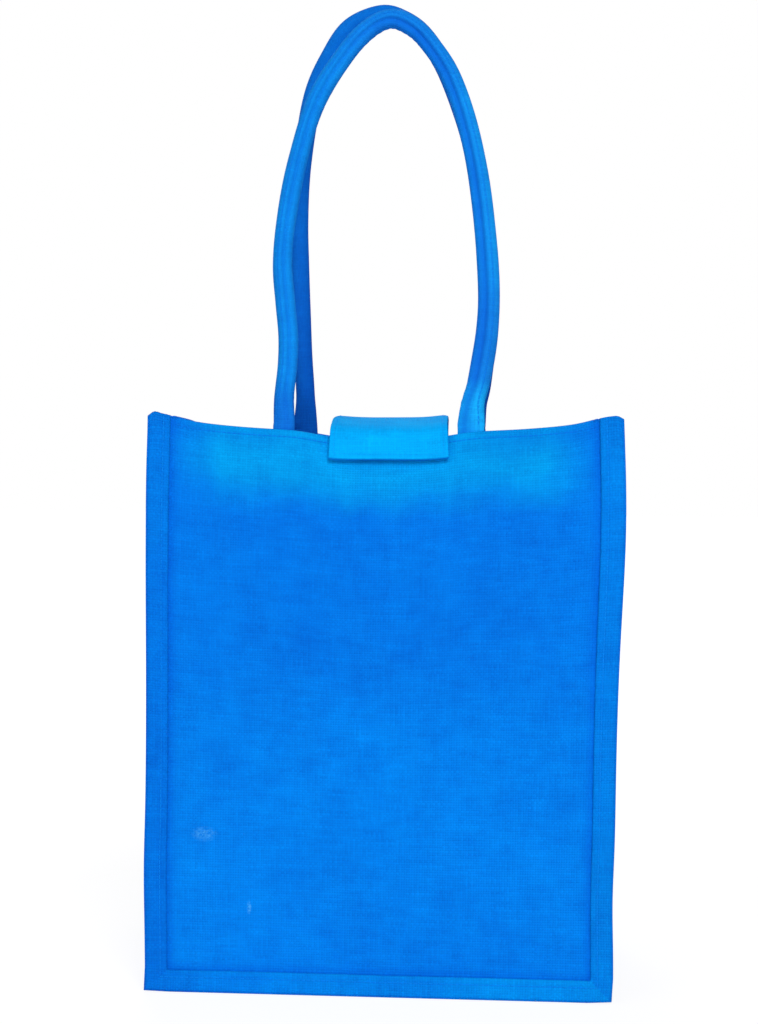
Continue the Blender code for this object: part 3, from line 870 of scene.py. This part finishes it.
def ring_path(shape, reach, step):
    """Points in X and Z outside the gusset's web by reach, round its two bottom corners."""
    centre_x, centre_z = shape.web_x - shape.CORNER, shape.web_z + shape.CORNER
    down = spread(shape.top, centre_z, step)
    left = np.stack([np.full(len(down), -(shape.web_x + reach)), down], 1)
    turn = np.linspace(0, math.pi / 2, 9)[1:-1]
    square = (shape.CORNER + shape.flange) / np.maximum(np.cos(turn), np.sin(turn))
    far = shape.CORNER + reach / shape.flange * (square - shape.CORNER)
    bend = np.stack([-(centre_x + far * np.cos(turn)), centre_z - far * np.sin(turn)], 1)
    xs = spread(-centre_x, centre_x, step)
    bottom = np.stack([xs, np.full(len(xs), shape.web_z - reach)], 1)
    mirror = (-1, 1)
    return np.concatenate([left, bend, bottom, (bend * mirror)[::-1], (left * mirror)[::-1]])


def gusset_section(shape):
    """Reach and Y across the strip, how many of its points are in a flange and its bend,
    and how far the web between them goes from the middle."""
    flange = [(shape.flange * part, -shape.flange_y) for part in (1.0, 0.75, 0.5, 0.3)]
    bend = [
        (shape.BEND * (1 - math.sin(a)), -shape.flange_y + shape.BEND * (1 - math.cos(a)))
        for a in np.linspace(0, math.pi / 2, 5)
    ]
    clipped = shape.flange_y - shape.BEND - 0.0008
    web = [(0.0, y) for y in spread(-clipped, clipped, 0.0042)]
    start = flange + bend
    far_side = [(reach, -y) for reach, y in reversed(start)]
    return np.array(start + web + far_side), len(start), clipped


def gusset_hem(shape, section, side):
    """The folded top end of the strip on one side, as rows of points."""
    xs, zs = half_turn(shape, shape.web_x)
    down = spread(shape.top, shape.top - shape.bag.hem, 0.0030)[1:]
    xs = np.concatenate([xs, np.full(len(down), shape.web_x - 2 * shape.turn)])
    zs = np.concatenate([zs, down])
    y, x = np.meshgrid(section[:, 1], side * xs)
    return np.stack([x, y, np.meshgrid(section[:, 1], zs)[1]], -1)


def build_gusset(shape):
    bag = shape.bag
    section, inner, clipped = gusset_section(shape)
    strip = []
    for reach, y in section:
        line = ring_path(shape, reach, 0.0042)
        strip.append(np.stack([line[:, 0], np.full(len(line), y), line[:, 1]], 1))
    strip = np.stack(strip, 1)
    left_hem, right_hem = (gusset_hem(shape, section, side) for side in (-1, 1))
    box = np.concatenate([left_hem[::-1], strip, right_hem])
    first, last = len(left_hem), len(left_hem) + len(strip) - 1
    points = shape.settle(box)
    along, over = walked(box[:, len(section) // 2]), walked(section)
    uvs = np.stack(np.meshgrid(over, along), -1)
    dye = tuple(part * 0.97 for part in bag.panel_colour)
    lines = [(1, along[first] + 0.0038, 0.0009, 0.22), (1, along[last] - 0.0038, 0.0009, 0.22)]
    material = kept("jute_gusset", cloth_material, dye, bag.pitch, lines)
    ob = cloth_piece(
        "gusset_cloth", points, uvs, bag.cloth, material,
        lambda i, j: ((i >= first) & (i < last)) | ((j >= inner) & (j < len(section) - inner - 1)),
    )
    finish_piece(ob, "gusset")
    ys = spread(-(clipped - 0.001), clipped - 0.001, 0.0012)
    for side, tag in ((-1, "left"), (1, "right")):
        out = np.full(len(ys), side * (shape.web_x + bag.cloth / 2))
        line = np.stack([out, ys, np.full(len(ys), bag.height - shape.HEM_SEWN)], 1)
        sew_hem(shape, f"gusset_{tag}_hem_stitches", line, 0, side)
    return ob


# The three strips of a binding, each with its own painted light or shade: factors on
# the dye's green and blue, and bands of painted light or shade, as (from, to, green,
# blue) along the strip.
STRIP_LIGHT = {
    "left": (0.94, 0.97, [(0.05, 0.12, 0.89, 0.98)]),
    "low": (
        0.90, 0.97, [(0.44, 0.48, 1.24, 1.09), (0.49, 0.58, 1.12, 1.02), (0.62, 0.68, 1.10, 1.0)]
    ),
    "right": (1.11, 1.01, [(1.28, 1.38, 0.91, 0.99), (1.54, 1.58, 1.06, 1.0)]),
}
# Where the length along the bottom strip is 0 at the middle, and that of the right strip
# at the floor, so that the bands above are told apart.
LOW_START, RIGHT_START = 0.6, 1.2
# How far the bottom strip laps over each side strip, in rows from the mitre.
MITRE_LAP = (0.00015, 0.00042, 0.00030, 0.00015)
BINDING_SEWN = 0.0050


def binding_section(shape):
    """Reach from the web and Y across the folded strip, from its outer edge to its inner."""
    inner_y = shape.strip_y - 2 * shape.fold
    edge = shape.flange
    section = [(reach, shape.strip_y) for reach in np.linspace(0.0002, edge, 9)[:-1]]
    for corner_y, start in ((shape.strip_y - shape.ROLL, 0), (inner_y + shape.ROLL, math.pi / 2)):
        for turn in np.linspace(start, start + math.pi / 2, 5):
            out, up = shape.ROLL * math.sin(turn), shape.ROLL * math.cos(turn)
            section.append((edge + out, corner_y + up))
    inner_reach = shape.BEND + shape.bag.cloth
    section += [(reach, inner_y) for reach in np.linspace(edge, inner_reach, 6)[1:]]
    return np.array(section)


def binding_box(shape, section, facing):
    """Rows of points down one side, along the bottom and up the other, and the two rows
    that lie on the mitres."""
    reach, y = section[:, 0], facing * section[:, 1]
    side_x, low = shape.web_x, shape.web_z - section[:, 0]
    heights = spread(shape.bag.height - 0.0002, shape.web_z + 0.0015, 0.0036)
    middle = spread(-(side_x - 0.0015), side_x - 0.0015, 0.0036)

    def row(x, z):
        return np.stack(np.broadcast_arrays(x, y, z), 1)

    rows = [row(-(side_x + reach), z) for z in heights] + [row(-(side_x + reach), low)]
    rows += [row(x, low) for x in middle] + [row(side_x + reach, low)]
    rows += [row(side_x + reach, z) for z in heights[::-1]]
    return np.stack(rows), (len(heights), len(heights) + 1 + len(middle))


def soften_binding(shape, box, section, mitres, facing):
    """The outer leaf swells and sinks a little, laps at the mitres and has round corners."""
    outer = section[:, 1] > shape.strip_y - 0.0001
    run = walked(box[:, 0])
    lane = np.stack([np.full(len(run), 3.0 * facing), np.zeros(len(run)), run], 1)
    swell = 0.00022 + waves(lane, 21, 0.045, 0.00016) + waves(lane, 22, 0.014, 0.00007)
    loose = np.sin(np.linspace(0, math.pi, outer.sum()))
    box[:, outer, 1] += facing * np.maximum(swell, 0)[:, None] * loose[None]
    pull = 0.0009 * np.clip((section[:, 0] - shape.flange + 0.004) / 0.004, 0, 1)
    for corner, way in zip(mitres, (1, -1)):
        for k, amount in enumerate(MITRE_LAP):
            box[corner + way * k, outer, 1] += facing * amount
        box[corner, :, 0] += way * pull
        box[corner, :, 2] += pull
    return outer, run


def add_ears(shape, points):
    """Small ears where the strip's end stands up and where the mitre is bulky."""
    x, z = points[..., 0], points[..., 2]
    points[..., 2] += 0.0010 * bell(x, -0.1592, 0.0026) * bell(z, shape.bag.height, 0.006)
    ear = bell(x, -0.165, 0.007) * bell(z, 0.003, 0.007)
    points[..., 0] -= 0.0020 * ear
    points[..., 2] -= 0.0004 * ear


def lay_weave(shape, ob, box, over, mitres):
    """The weave runs straight along each strip up to the mitres."""
    columns = len(over)
    corners = np.empty(len(ob.data.loops), int)
    ob.data.loops.foreach_get("vertex_index", corners)
    rows = np.repeat(corners.reshape(-1, 4).min(1) // columns, 4)
    flat = box.reshape(-1, 3)[corners]
    after = [rows >= mitre for mitre in mitres]
    along = np.where(
        after[1], RIGHT_START + flat[:, 2],
        np.where(after[0], LOW_START + flat[:, 0], shape.bag.height - flat[:, 2]),
    )
    strip = after[0][::4].astype(np.int32) + after[1][::4]
    ob.data.polygons.foreach_set("material_index", strip)
    uvs = np.stack([over[corners % columns], along], 1).astype(np.float32)
    ob.data.uv_layers[CLOTH_UV].uv.foreach_set("vector", uvs.ravel())


def build_binding(shape, front):
    bag = shape.bag
    name = "front_binding" if front else "back_binding"
    facing = -1 if front else 1
    section = binding_section(shape)
    box, mitres = binding_box(shape, section, facing)
    outer, run = soften_binding(shape, box, section, mitres, facing)
    points = shape.settle(box)
    if front:
        add_ears(shape, points)
    over = walked(section)
    red, green, blue = bag.binding_colour
    # The second line darkens the strip where it rolls round the outer edge: painted shade.
    lines = [(0, BINDING_SEWN, 0.0008, 0.08), (0, shape.flange + 0.0006, 0.0011, 0.55)]
    # A copy of the cloth for each strip, with its own painted light and shade.
    strips = [
        kept(
            f"jute_binding_{side}", cloth_material, (red, green * more_green, blue * more_blue),
            bag.pitch, lines, fades=fades,
        )
        for side, (more_green, more_blue, fades) in STRIP_LIGHT.items()
    ]
    uvs = np.stack(np.meshgrid(over, run), -1)
    ob = cloth_piece(name + "_cloth", points, uvs, bag.strip, strips[0])
    for material in strips[1:]:
        ob.data.materials.append(material)
    lay_weave(shape, ob, box, over, mitres)
    finish_piece(ob, name)
    at = np.interp(BINDING_SEWN, section[outer, 0], np.arange(outer.sum()))
    low, part = int(at), at - int(at)
    normals = across_normal(points)
    normal = normals[:, low] * (1 - part) + normals[:, low + 1] * part
    normal *= np.sign(normal[:, 1:2]) * facing
    line = points[:, low] * (1 - part) + points[:, low + 1] * part + normal * bag.strip / 2
    thread = kept("binding_thread", thread_material, BINDING_THREAD)
    row = sew(f"{name}_stitches", line, normal, bag, 0.00028, thread)
    finish_piece(row, None)
    return ob


def smooth_line(points, step):
    """Evenly spaced points on a smooth curve through the given ones."""
    points = np.asarray(points, float)
    ends = np.concatenate([[2 * points[0] - points[1]], points, [2 * points[-1] - points[-2]]])
    t = np.linspace(0, 1, 24, endpoint=False)[:, None]
    fine = []
    for a, b, c, d in zip(ends, ends[1:], ends[2:], ends[3:]):
        second, third = 2 * a - 5 * b + 4 * c - d, 3 * b - a - 3 * c + d
        fine.append(0.5 * (2 * b + t * (c - a) + t**2 * second + t**3 * third))
    fine = np.concatenate([*fine, points[-1:]])
    run = walked(fine)
    at = np.linspace(0, run[-1], max(3, round(run[-1] / step) + 1))
    return np.stack([np.interp(at, run, fine[:, k]) for k in range(3)], 1)


TAB_SEWN = 0.0032


def tab_line(shape):
    """The tab's middle line, from inside the back hem over the mouth to its free end."""
    rise, inside, front = shape.TAB_RISE, shape.tab_in_y, -shape.tab_y
    over = [
        (inside, -shape.TAB_BACK), (inside, -0.006), (inside - 0.001, 0.0055),
        (inside - 0.010, 0.0115), (0.030, rise - 0.0010), (-0.008, rise),
        (-0.045, rise - 0.0018), (-0.068, rise - 0.0050), (front + 0.0020, 0.0050),
        (front, -0.002), (front, -shape.bag.tab_front),
    ]
    return smooth_line([(0, y, shape.bag.height + z) for y, z in over], 0.0021)


def tab_points(shape, line, side):
    """The tab's middle surface in the standing bag, with its sides drooping a little."""
    free = np.clip((line[:, 2] - shape.bag.height) / shape.TAB_RISE, 0, 1)[:, None]
    droop = 0.5 * shape.TAB_DROOP * free * np.abs(side) ** 24
    # It widens towards its free end, whose corners hang a little.
    run = walked(line)
    up = np.clip((run[-1] - run) / 0.030, 0, 1)[:, None]
    widened = side * shape.bag.tab_width / 2 * (1.024 - 0.030 * up)
    height = line[:, 2:3] - droop - 0.0012 * (1 - up) * side**2
    box = np.stack(
        np.broadcast_arrays(shape.TAB_X - 0.0004 * up + widened, line[:, 1:2], height), -1
    )
    points = shape.settle(box)
    lumps = waves(points.reshape(-1, 3), 31, 0.05, 0.00010).reshape(droop.shape)
    points[..., 2] += lumps * free
    return points


def build_tab(shape):
    bag = shape.bag
    line = tab_line(shape)
    run, half = walked(line), bag.tab_width / 2
    rim, middle = np.linspace(0.9, 1, 7)[1:], np.linspace(-0.9, 0.9, 35)
    side = np.concatenate([-rim[::-1], middle, rim])
    points = tab_points(shape, line, side)
    material = kept(
        "jute_tab", cloth_material, tuple(bag.tab_colour), bag.pitch,
        lines=[
            (0, half - TAB_SEWN, 0.0008, 0.12),
            (0, TAB_SEWN - half, 0.0008, 0.12),
            (1, run[-1] - TAB_SEWN, 0.0008, 0.12),
            # A dark line along the free end: painted shadow under its edge.
            (1, run[-1] + 0.0006, 0.0010, 1.8),
        ],
        depth=0.45, relief=0.00024,
    )
    uvs = np.stack(np.meshgrid(side * half, run), -1)
    ob = cloth_piece("closure_tab_cloth", points, uvs, 2 * bag.cloth, material)
    rounded = ob.modifiers.new("Rounded edges", "BEVEL")
    rounded.width = 0.0009
    rounded.segments = 3
    rounded.limit_method = "ANGLE"
    rounded.angle_limit = math.radians(50)
    finish_piece(ob, "closure_tab")
    # The row of stitches runs down one side, along the front edge and up the other.
    normals = across_normal(points)
    normals *= np.sign(normals[len(line) // 2, len(side) // 2, 2])
    outside = points + normals * bag.cloth
    stop = np.argmin(np.abs(line[:, 1] - 0.050))
    low = np.argmin(np.abs(run - (run[-1] - TAB_SEWN)))
    left = np.argmin(np.abs(side * half + half - TAB_SEWN))
    right = len(side) - 1 - left
    path = [(i, left) for i in range(stop, low)] + [(low, j) for j in range(left, right)]
    path += [(i, right) for i in range(low, stop, -1)]
    index = tuple(np.array(path).T)
    thread = kept("tab_thread", thread_material, TAB_THREAD)
    row = sew("closure_tab_stitches", outside[index], normals[index], bag, 0.00020, thread)
    finish_piece(row, None)
    return ob


def build_patch(shape, hooks):
    bag = shape.bag
    name = "hook_patch" if hooks else "loop_patch"
    y = shape.hook_y if hooks else shape.loop_y
    top = bag.height - shape.PATCH_DOWN
    xs = spread(-shape.PATCH_WIDTH / 2, shape.PATCH_WIDTH / 2, 0.0025)
    zs = spread(top - shape.PATCH_HEIGHT, top, 0.0024)
    x, z = np.meshgrid(xs, zs)
    points = shape.settle(np.stack([shape.TAB_X + x, np.full(x.shape, -y), z], -1))
    material = kept(name + "_tape", tape_material, TAPE_DYE, hooks)
    ob = cloth_piece(name + "_tape", points, np.stack([x, z], -1), bag.tape, material)
    finish_piece(ob, name)
    return ob


def handle_section(shape, height, turns, end_width):
    """Flat to round outline of a handle, at heights above the mouth edge."""
    part = eased(np.clip(height / shape.ROUND_BY, 0, 1))
    wide = end_width + (shape.bag.handle - end_width) * part
    thick = shape.END_THICK + (shape.bag.handle - shape.END_THICK) * part
    power = 2 / (3.2 - 1.2 * part)
    c, s = np.cos(turns), np.sin(turns)
    a = np.sign(c) * np.abs(c) ** power[:, None] * wide[:, None] / 2
    b = np.sign(s) * np.abs(s) ** power[:, None] * thick[:, None] / 2
    return a, b


def handle_line(shape, loop, feet, shifts, facing):
    """Middle line of a handle above the mouth, from its left foot to its right one."""
    lift = shape.FOOT_LIFT
    base = shape.settle(np.array([[feet[0], facing * shape.end_y, shape.bag.height]]))[0]
    crest = max(z for x, z in loop)
    ends = shape.settle(
        np.array([
            [x + by, facing * shape.end_y, shape.bag.height + lift] for x, by in zip(feet, shifts)
        ])
    )
    base_y, top_y = abs(base[1]), shape.HANDLE_GAP / 2
    line = [ends[0]]
    for x, z in loop:
        share = (z - base[2]) / (crest - base[2])
        line.append((x, facing * (base_y + (top_y - base_y) * share), z))
    return smooth_line([*line, ends[1]], 0.0019)


def handle_turns(seam_at):
    """Angles round a handle, closer together beside the seam."""
    near = np.linspace(-0.6, 1.0, 15)
    even = np.linspace(1.18, 2 * math.pi - 0.78, 24)
    turns = np.sort((np.concatenate([near, even]) + seam_at) % (2 * math.pi))
    return turns, (turns - seam_at + math.pi) % (2 * math.pi) - math.pi


def handle_skin(shape, line, turns, from_seam, widths, front):
    """Rings of points round the line, with the unit directions that lead outward."""
    along = np.gradient(line, axis=0)
    along /= np.linalg.norm(along, axis=1, keepdims=True)
    wide = np.cross(along, (0, 1, 0))
    wide /= np.linalg.norm(wide, axis=1, keepdims=True)
    thick = np.cross(wide, along)
    run = walked(line)
    left = np.arange(len(line)) < len(line) / 2
    height = line[:, 2] - np.where(left, line[0, 2], line[-1, 2]) + shape.FOOT_LIFT
    a, b = handle_section(shape, height, turns, np.where(left, *widths))
    # The front handle's right side is fuller above its foot.
    full = 0.15 * bell(height, 0.055, 0.045) + 0.09 * bell(height, 0.150, 0.055)
    a = a * (1 + full * ~left * front)[:, None]
    skin = line[:, None] - wide[:, None] * a[..., None] + thick[:, None] * b[..., None]
    # Lap of the cloth beside the seam's valley, which goes further round on the right.
    later = np.clip((run / run[-1] - 0.47) / 0.10, 0, 1)
    beside = from_seam[None] - (0.22 + 0.16 * eased(later))[:, None]
    deep = 0.0016 - 0.0005 * later - 0.0009 * later * np.clip((0.040 - height) / 0.015, 0, 1)
    lap = 0.00035 * bell(np.abs(beside), 0.62, 0.35) - deep[:, None] * bell(beside, 0, 0.24)
    # Slack folds at the bends, and soft lumps of filling.
    bend = np.linalg.norm(np.gradient(along, axis=0), axis=1) / np.gradient(run)
    folds = np.sin(run / 0.0062 * 2 * math.pi + 1.5 * np.sin(run / 0.011))
    folds = 0.00018 * folds * np.clip(bend / 22 - 0.12, 0, 1)
    folds = folds[:, None] * (0.5 + 0.5 * np.cos(turns)) ** 2
    lumps = waves(skin.reshape(-1, 3), 41 + front, 0.040, 0.00014).reshape(lap.shape)
    outward = skin - line[:, None]
    outward /= np.linalg.norm(outward, axis=-1, keepdims=True)
    soft = np.clip(height / 0.02, 0, 1)[:, None]
    return skin + outward * ((lap + folds + lumps) * soft)[..., None], outward


def handle_foot(shape, x, width, turns, facing):
    """Rings of points of a flattened end, from deep in the hem to just above the mouth."""
    lows = shape.TUCK * FOOT_RINGS
    a, b = handle_section(shape, lows, turns, width)
    heights = shape.bag.height + lows[:, None]
    box = np.broadcast_arrays(x + a, facing * shape.end_y + b, heights)
    return shape.settle(np.stack(box, -1))


def tube(name, rings, uvs):
    """A closed tube through rings of points, with a seam in its flat coordinates."""
    closed = np.concatenate([rings, rings[:, :1]], 1)
    ob = mesh_object(name, closed, grid_faces(*closed.shape[:2]), uvs.reshape(-1, 2))
    work = bmesh.new()
    work.from_mesh(ob.data)
    bmesh.ops.remove_doubles(work, verts=work.verts, dist=1e-6)
    bmesh.ops.holes_fill(work, edges=[e for e in work.edges if e.is_boundary], sides=0)
    bmesh.ops.recalc_face_normals(work, faces=work.faces)
    work.to_mesh(ob.data)
    work.free()
    ob.data.polygons.foreach_set("use_smooth", [True] * len(ob.data.polygons))
    return ob


def handle_material(shape, front, seam, total):
    """The handle's cloth: painted shade in the seam's valley, and bands of painted light
    and shade along it. The front one is painted lighter on its right half."""
    bag = shape.bag
    shade_lines = [(0, seam + 0.0016, 0.0017, 0.35), (0, seam - 0.0032, 0.0007, 0.35)]
    look = {"relief": 0.00022, "depth": 0.6}
    if front:
        # Painted shade along the inner side of the right half.
        shade_lines.append((0, seam + 0.0028, 0.0026, 0.75, 0.0, total * 0.46, total * 0.54))
        shade_lines.append((0, seam + 0.0052, 0.0050, 0.80, 0.0, total * 0.44, total * 0.50))
        # Bands of painted light and shade along the handle, lighter on its right half and at the
        # right foot.
        look["fades"] = [
            (0.060, 0.036, 0.74, 0.90),
            (total * 0.40, total * 0.46, 0.88, 0.96),
            (total * 0.54, total * 0.64, 1.32, 1.10),
            (total - 0.150, total - 0.092, 0.82, 0.94),
            (total - 0.060, total - 0.042, 1.85, 1.25),
        ]
        dye = tuple(bag.handle_colour)
        return kept("handle_cloth_front", cloth_material, dye, HANDLE_PITCH, shade_lines, **look)
    # Painted shade: a dark line along the back handle's inner edge, and darker towards both feet.
    shade_lines += [(0, 0.0, 0.0030, 0.45), (0, math.pi * bag.handle, 0.0030, 0.45)]
    look["fades"] = [(0.26, 0.05, 0.72, 0.86), (total - 0.26, total - 0.05, 0.72, 0.86)]
    dye = tuple(bag.shaded_colour)
    return kept("handle_cloth_back", cloth_material, dye, HANDLE_PITCH, shade_lines, **look)


def build_handle(shape, front):
    bag = shape.bag
    name = "front_handle" if front else "back_handle"
    facing = -1 if front else 1
    loop, feet = (FRONT_LOOP, FRONT_FEET) if front else (BACK_LOOP, BACK_FEET)
    # Widths of the flattened ends, and their shifts along X from the feet.
    widths = (0.0152, 0.0190) if front else (0.0188, shape.END_WIDTH)
    shifts = (-0.0023, -0.0008) if front else (-0.0006, 0.0)
    line = handle_line(shape, loop, feet, shifts, facing)
    seam_at = facing * math.pi / 2
    turns, from_seam = handle_turns(seam_at)
    skin, outward = handle_skin(shape, line, turns, from_seam, widths, front)
    left, right = (
        handle_foot(shape, x + shift, width, facing_turns, facing)
        for x, shift, width, facing_turns in zip(feet, shifts, widths, (turns, math.pi - turns))
    )
    rings = np.concatenate([left, skin, right[::-1]])
    run = walked(rings.mean(1))
    around = np.concatenate([turns, [turns[0] + 2 * math.pi]]) * bag.handle / 2
    ob = tube(name + "_cloth", rings, np.stack(np.meshgrid(around, run), -1))
    seam = (seam_at % (2 * math.pi)) * bag.handle / 2
    ob.data.materials.append(handle_material(shape, front, seam, run[-1]))
    finish_piece(ob, name)
    # One row of stitches holds the lap down, from foot to foot.
    lane = np.argmin(np.abs(from_seam + 0.42))
    row = sew(f"{name}_stitches", skin[:, lane], outward[:, lane], bag)
    finish_piece(row, None)
    return ob


def place_camera(shape):
    yaw, pitch, roll = (math.radians(angle) for angle in CAMERA_TURNS)
    camera = bpy.data.cameras.new("Camera")
    camera.sensor_width = 36
    camera.lens = CAMERA_LENS
    holder = link(bpy.data.objects.new("Camera", camera))
    turn = Matrix.Rotation(yaw, 4, "Z") @ Matrix.Rotation(math.pi / 2 - pitch, 4, "X")
    turn = turn @ Matrix.Rotation(roll, 4, "Z")
    x, away, z = CAMERA_PLACE
    front = shape.strip_y + shape.bag.strip / 2
    holder.matrix_world = Matrix.Translation((x, -away - front, z)) @ turn
    bpy.context.scene.camera = holder


def place_lamp(name, place, target, size, power):
    data = bpy.data.lights.new(name, "AREA")
    data.shape = "RECTANGLE"
    data.size = data.size_y = size
    data.energy = power
    ob = link(bpy.data.objects.new(name, data))
    aim = Vector(target) - Vector(place)
    turn = aim.to_track_quat("-Z", "Y").to_matrix().to_4x4()
    ob.matrix_world = Matrix.Translation(place) @ turn


def floor_material():
    """Matt white for light and shadow. The camera sees it mixed with an even white, which
    takes over away from the bag."""
    made, g, matt = new_material("white_floor")
    matt.inputs["Base Color"].default_value = (0.9, 0.9, 0.9, 1)
    matt.inputs["Roughness"].default_value = 0.9
    matt.inputs["Specular IOR Level"].default_value = 0.1
    bright = g.node("ShaderNodeEmission", {"Color": (1, 1, 1, 1), "Strength": 1.1})
    place = g.node("ShaderNodeNewGeometry").outputs["Position"]
    share = g.ramp(g.vector("LENGTH", place), 0.35, 0.95, 0.78, 1.0)
    path = g.node("ShaderNodeLightPath").outputs
    seen = g.math("MULTIPLY", path["Is Camera Ray"], share)
    shown = g.node("ShaderNodeMixShader", {0: seen, 1: matt.outputs[0], 2: bright.outputs[0]})
    g.put(made.node_tree.nodes["Material Output"].inputs["Surface"], shown.outputs[0])
    return made


def white_world():
    """White where the camera or a reflection sees it, and a dimmer glow as light."""
    world = bpy.data.worlds.new("White surroundings")
    world.use_nodes = True
    g = Graph(world.node_tree)
    for old in list(world.node_tree.nodes):
        world.node_tree.nodes.remove(old)
    seen = g.node("ShaderNodeBackground", {"Color": (1, 1, 1, 1), "Strength": 1.0})
    glow = g.node("ShaderNodeBackground", {"Color": (1, 1, 1, 1), "Strength": 0.33})
    path = g.node("ShaderNodeLightPath").outputs
    white = g.math("MAXIMUM", path["Is Camera Ray"], path["Is Glossy Ray"])
    white = g.math("MAXIMUM", white, path["Is Transmission Ray"])
    which = g.node("ShaderNodeMixShader", {0: white, 1: glow.outputs[0], 2: seen.outputs[0]})
    g.put(g.node("ShaderNodeOutputWorld").inputs[0], which.outputs[0])
    return world


def build_stage(shape):
    """Camera, lights and the white surroundings."""
    scene = bpy.context.scene
    place_camera(shape)
    for lamp in LAMPS:
        place_lamp(*lamp)
    corners = [(-6, -6, 0), (6, -6, 0), (6, 8, 0), (-6, 8, 0)]
    floor = mesh_object("floor", corners, [(0, 1, 2, 3)], smooth=False)
    floor.data.materials.append(floor_material())
    scene.world = white_world()
    scene.view_settings.view_transform = "Standard"
    return floor


def finished(*pieces):
    """An operator's result, or an error that stops the script if a piece is empty."""
    for piece in pieces:
        if not piece.data.polygons:
            raise RuntimeError(f"{piece.name} couldn't be built")
    return {"FINISHED"}


class TOTE_OT_panels(bpy.types.Operator):
    """Build the front and back cloth with their hems"""

    bl_idname = "tote.panels"
    bl_label = "Build panels"
    bl_options = {"REGISTER", "UNDO"}

    def execute(self, context):
        shape = Shape(context.scene.tote)
        return finished(*(build_panel(shape, front) for front in (True, False)))


class TOTE_OT_gusset(bpy.types.Operator):
    """Build the strip that forms the sides and bottom"""

    bl_idname = "tote.gusset"
    bl_label = "Build gusset"
    bl_options = {"REGISTER", "UNDO"}

    def execute(self, context):
        shape = Shape(context.scene.tote)
        return finished(build_gusset(shape))


class TOTE_OT_bindings(bpy.types.Operator):
    """Build the strips folded round the front and back seams"""

    bl_idname = "tote.bindings"
    bl_label = "Build bindings"
    bl_options = {"REGISTER", "UNDO"}

    def execute(self, context):
        shape = Shape(context.scene.tote)
        return finished(*(build_binding(shape, front) for front in (True, False)))


class TOTE_OT_closure(bpy.types.Operator):
    """Build the closure tab with its hook and loop tape"""

    bl_idname = "tote.closure"
    bl_label = "Build closure"
    bl_options = {"REGISTER", "UNDO"}

    def execute(self, context):
        shape = Shape(context.scene.tote)
        tab = build_tab(shape)
        return finished(tab, *(build_patch(shape, hooks) for hooks in (True, False)))


class TOTE_OT_handles(bpy.types.Operator):
    """Build the two stuffed handles"""

    bl_idname = "tote.handles"
    bl_label = "Build handles"
    bl_options = {"REGISTER", "UNDO"}

    def execute(self, context):
        shape = Shape(context.scene.tote)
        return finished(*(build_handle(shape, front) for front in (True, False)))


class TOTE_OT_stage(bpy.types.Operator):
    """Place the camera, lights and white surroundings"""

    bl_idname = "tote.stage"
    bl_label = "Set the stage"
    bl_options = {"REGISTER", "UNDO"}

    def execute(self, context):
        shape = Shape(context.scene.tote)
        return finished(build_stage(shape))


OPERATORS = (
    TOTE_OT_panels, TOTE_OT_gusset, TOTE_OT_bindings,
    TOTE_OT_closure, TOTE_OT_handles, TOTE_OT_stage,
)


class TOTE_PT_sidebar(bpy.types.Panel):
    """Sizes, colours and build steps of the tote bag"""

    bl_idname = "TOTE_PT_sidebar"
    bl_label = "Jute tote bag"
    bl_space_type = "VIEW_3D"
    bl_region_type = "UI"
    bl_category = "Tote"

    def draw(self, context):
        column = self.layout.column()
        for name in ToteSettings.__annotations__:
            column.prop(context.scene.tote, name)
        for operator in OPERATORS:
            column.operator(operator.bl_idname)


CLASSES = (ToteSettings, *OPERATORS, TOTE_PT_sidebar)


def register():
    for each in CLASSES:
        bpy.utils.register_class(each)
    bpy.types.Scene.tote = PointerProperty(type=ToteSettings)


def unregister():
    del bpy.types.Scene.tote
    for each in reversed(CLASSES):
        bpy.utils.unregister_class(each)


def main():
    register()
    bpy.ops.tote.panels()
    bpy.ops.tote.gusset()
    bpy.ops.tote.bindings()
    bpy.ops.tote.closure()
    bpy.ops.tote.handles()
    bpy.ops.tote.stage()


if __name__ == "__main__":
    main()
